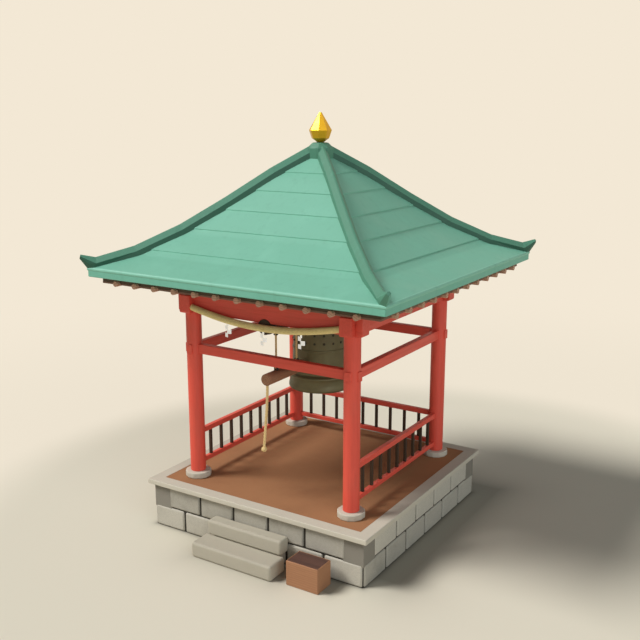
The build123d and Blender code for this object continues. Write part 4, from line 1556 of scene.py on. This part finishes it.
@dataclass(frozen=True)
class Contact:
    """Soft shade on the floor at the foot of a node that stands on it.

    It is deepest at the node's box, moved by a shift to the right and back, and falls to about a third
    over its reach.
    """

    node: str
    shift: float
    reach: float
    depth: float

    def shade(self, graph: Graph) -> Socket:
        """Shade on the floor.

        Args:
            graph: Graph of the floor's material.

        Returns:
            The shade, from 0 to its depth.
        """
        low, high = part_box(self.node)
        centre = (low + high) / 2 + Vector((self.shift, self.shift, 0))
        half = (high - low) / 2
        gap = graph.vectors("SUBTRACT", graph.place(), (centre.x, centre.y, 0.0))
        gap = graph.vectors("SUBTRACT", graph.vectors("ABSOLUTE", gap), (half.x, half.y, 0.0))
        gap = graph.vectors("LENGTH", graph.vectors("MAXIMUM", gap), output="Value")
        fall = graph.maths("EXPONENT", graph.maths("MULTIPLY", gap, -1 / self.reach))
        return graph.maths("MULTIPLY", self.depth, fall)


@dataclass
class Stage:
    """Camera, lamps, sky light and the pale floor, which fades into the backdrop."""

    eye: Point = (7.897, -12.53, 6.939)
    yaw: float = 32.246
    pitch: float = -13.288
    lens: float = 50.25
    sensor: float = 36.0
    view_end: float = 500.0
    backdrop: Colour = display(243, 232, 213)
    ground: Colour = display(226, 218, 198)
    ground_rough: float = 0.95
    ground_gloss: float = 0.1
    sky: float = 0.09
    sky_tint: Colour = (1.0, 0.985, 0.96, 1.0)
    floor_radius: float = 90.0
    fade_centre: Point = (1.3, 0.3, 0.0)

    FADES = ((6.5, 8.3, 0.8), (8.3, 20.0, 0.2))  # where each starts and ends, and its share
    LAMPS = (Lamp("key_lamp", 38.0, 47.0, 3.0, 21.0),
             Lamp("fill_lamp", 150.0, 22.0, 1.12, 55.0, (0.9, 1.0, 1.08)))
    CONTACTS = (Contact("podium_core", 0.4, 0.4, 0.5), Contact("podium_core", 0.0, 0.05, 0.6),
                Contact("step_lower", 0.0, 0.35, 0.25), Contact("step_lower", 0.11, 0.06, 0.42),
                Contact("offertory_box", 0.13, 0.08, 0.5))

    def camera(self) -> None:
        """Sets the camera."""
        data = bpy.data.cameras.new("camera")
        data.lens = self.lens
        data.sensor_width = self.sensor
        data.clip_end = self.view_end
        camera = bpy.data.objects.new("camera", data)
        camera.location = self.eye
        camera.rotation_euler = (radians(90 + self.pitch), 0, radians(self.yaw))
        bpy.context.scene.collection.objects.link(camera)
        bpy.context.scene.camera = camera

    def world(self) -> None:
        """Sets the sky light, and the backdrop that the camera and glossy surfaces see."""
        world = bpy.data.worlds.new("studio")
        bpy.context.scene.world = world
        graph = Graph(world)
        light = graph.tree.nodes["Background"]
        graph.feed(light, {"Color": self.sky_tint, "Strength": self.sky})
        seen = graph.node("Background", 0, {"Color": self.backdrop})
        share = graph.maths("MAXIMUM", graph.node("LightPath", "Is Camera Ray"),
                            graph.node("LightPath", "Is Glossy Ray"))
        graph.show(share, light.outputs[0], seen, "World Output")

    def floor(self) -> None:
        """Lays the pale floor."""
        form = bmesh.new()
        bmesh.ops.create_circle(form, cap_ends=True, segments=96, radius=self.floor_radius)
        mesh = bpy.data.meshes.new("floor")
        form.to_mesh(mesh)
        form.free()
        floor = bpy.data.objects.new("floor", mesh)
        bpy.context.scene.collection.objects.link(floor)
        material = bpy.data.materials.new("studio_floor")
        self.paint_floor(Graph(material))
        mesh.materials.append(material)

    def paint_floor(self, graph: Graph) -> None:
        """Gives the floor its shades, and fades it into the backdrop for the camera.

        Args:
            graph: Graph of the floor's material.
        """
        colour = self.ground
        for contact in self.CONTACTS:
            colour = graph.mix(contact.shade(graph), colour, BLACK)
        graph.surface(colour, self.ground_rough, self.ground_gloss)
        distance = graph.vectors("DISTANCE", graph.place(), self.fade_centre, "Value")
        near, far = (graph.spread(distance, low, high, 0.0, share) for low, high, share in self.FADES)
        seen = graph.node("LightPath", "Is Camera Ray")
        share = graph.maths("MULTIPLY", graph.maths("ADD", near, far), seen)
        glow = graph.node("Emission", 0, {"Color": self.backdrop})
        graph.show(share, graph.tree.nodes["Principled BSDF"].outputs[0], glow, "Material Output")

    def build(self) -> None:
        """Sets the stage."""
        bpy.context.scene.view_settings.view_transform = "Standard"
        self.world()
        self.floor()
        for lamp in self.LAMPS:
            lamp.light()


def main() -> None:
    """Builds the looks of the pavilion round its frame."""
    logging.basicConfig(level=logging.INFO, format="%(name)s %(message)s")
    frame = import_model()
    stage = Stage()
    stage.camera()
    PullRope().build()
    StrawRope().build()
    Podium().build(frame)
    TimberFrame().build(frame)
    Roof().build(frame)
    Bell().build(frame)
    Striker().build(frame)
    OffertoryBox().build()
    stage.build()


if __name__ == "__main__":
    main()
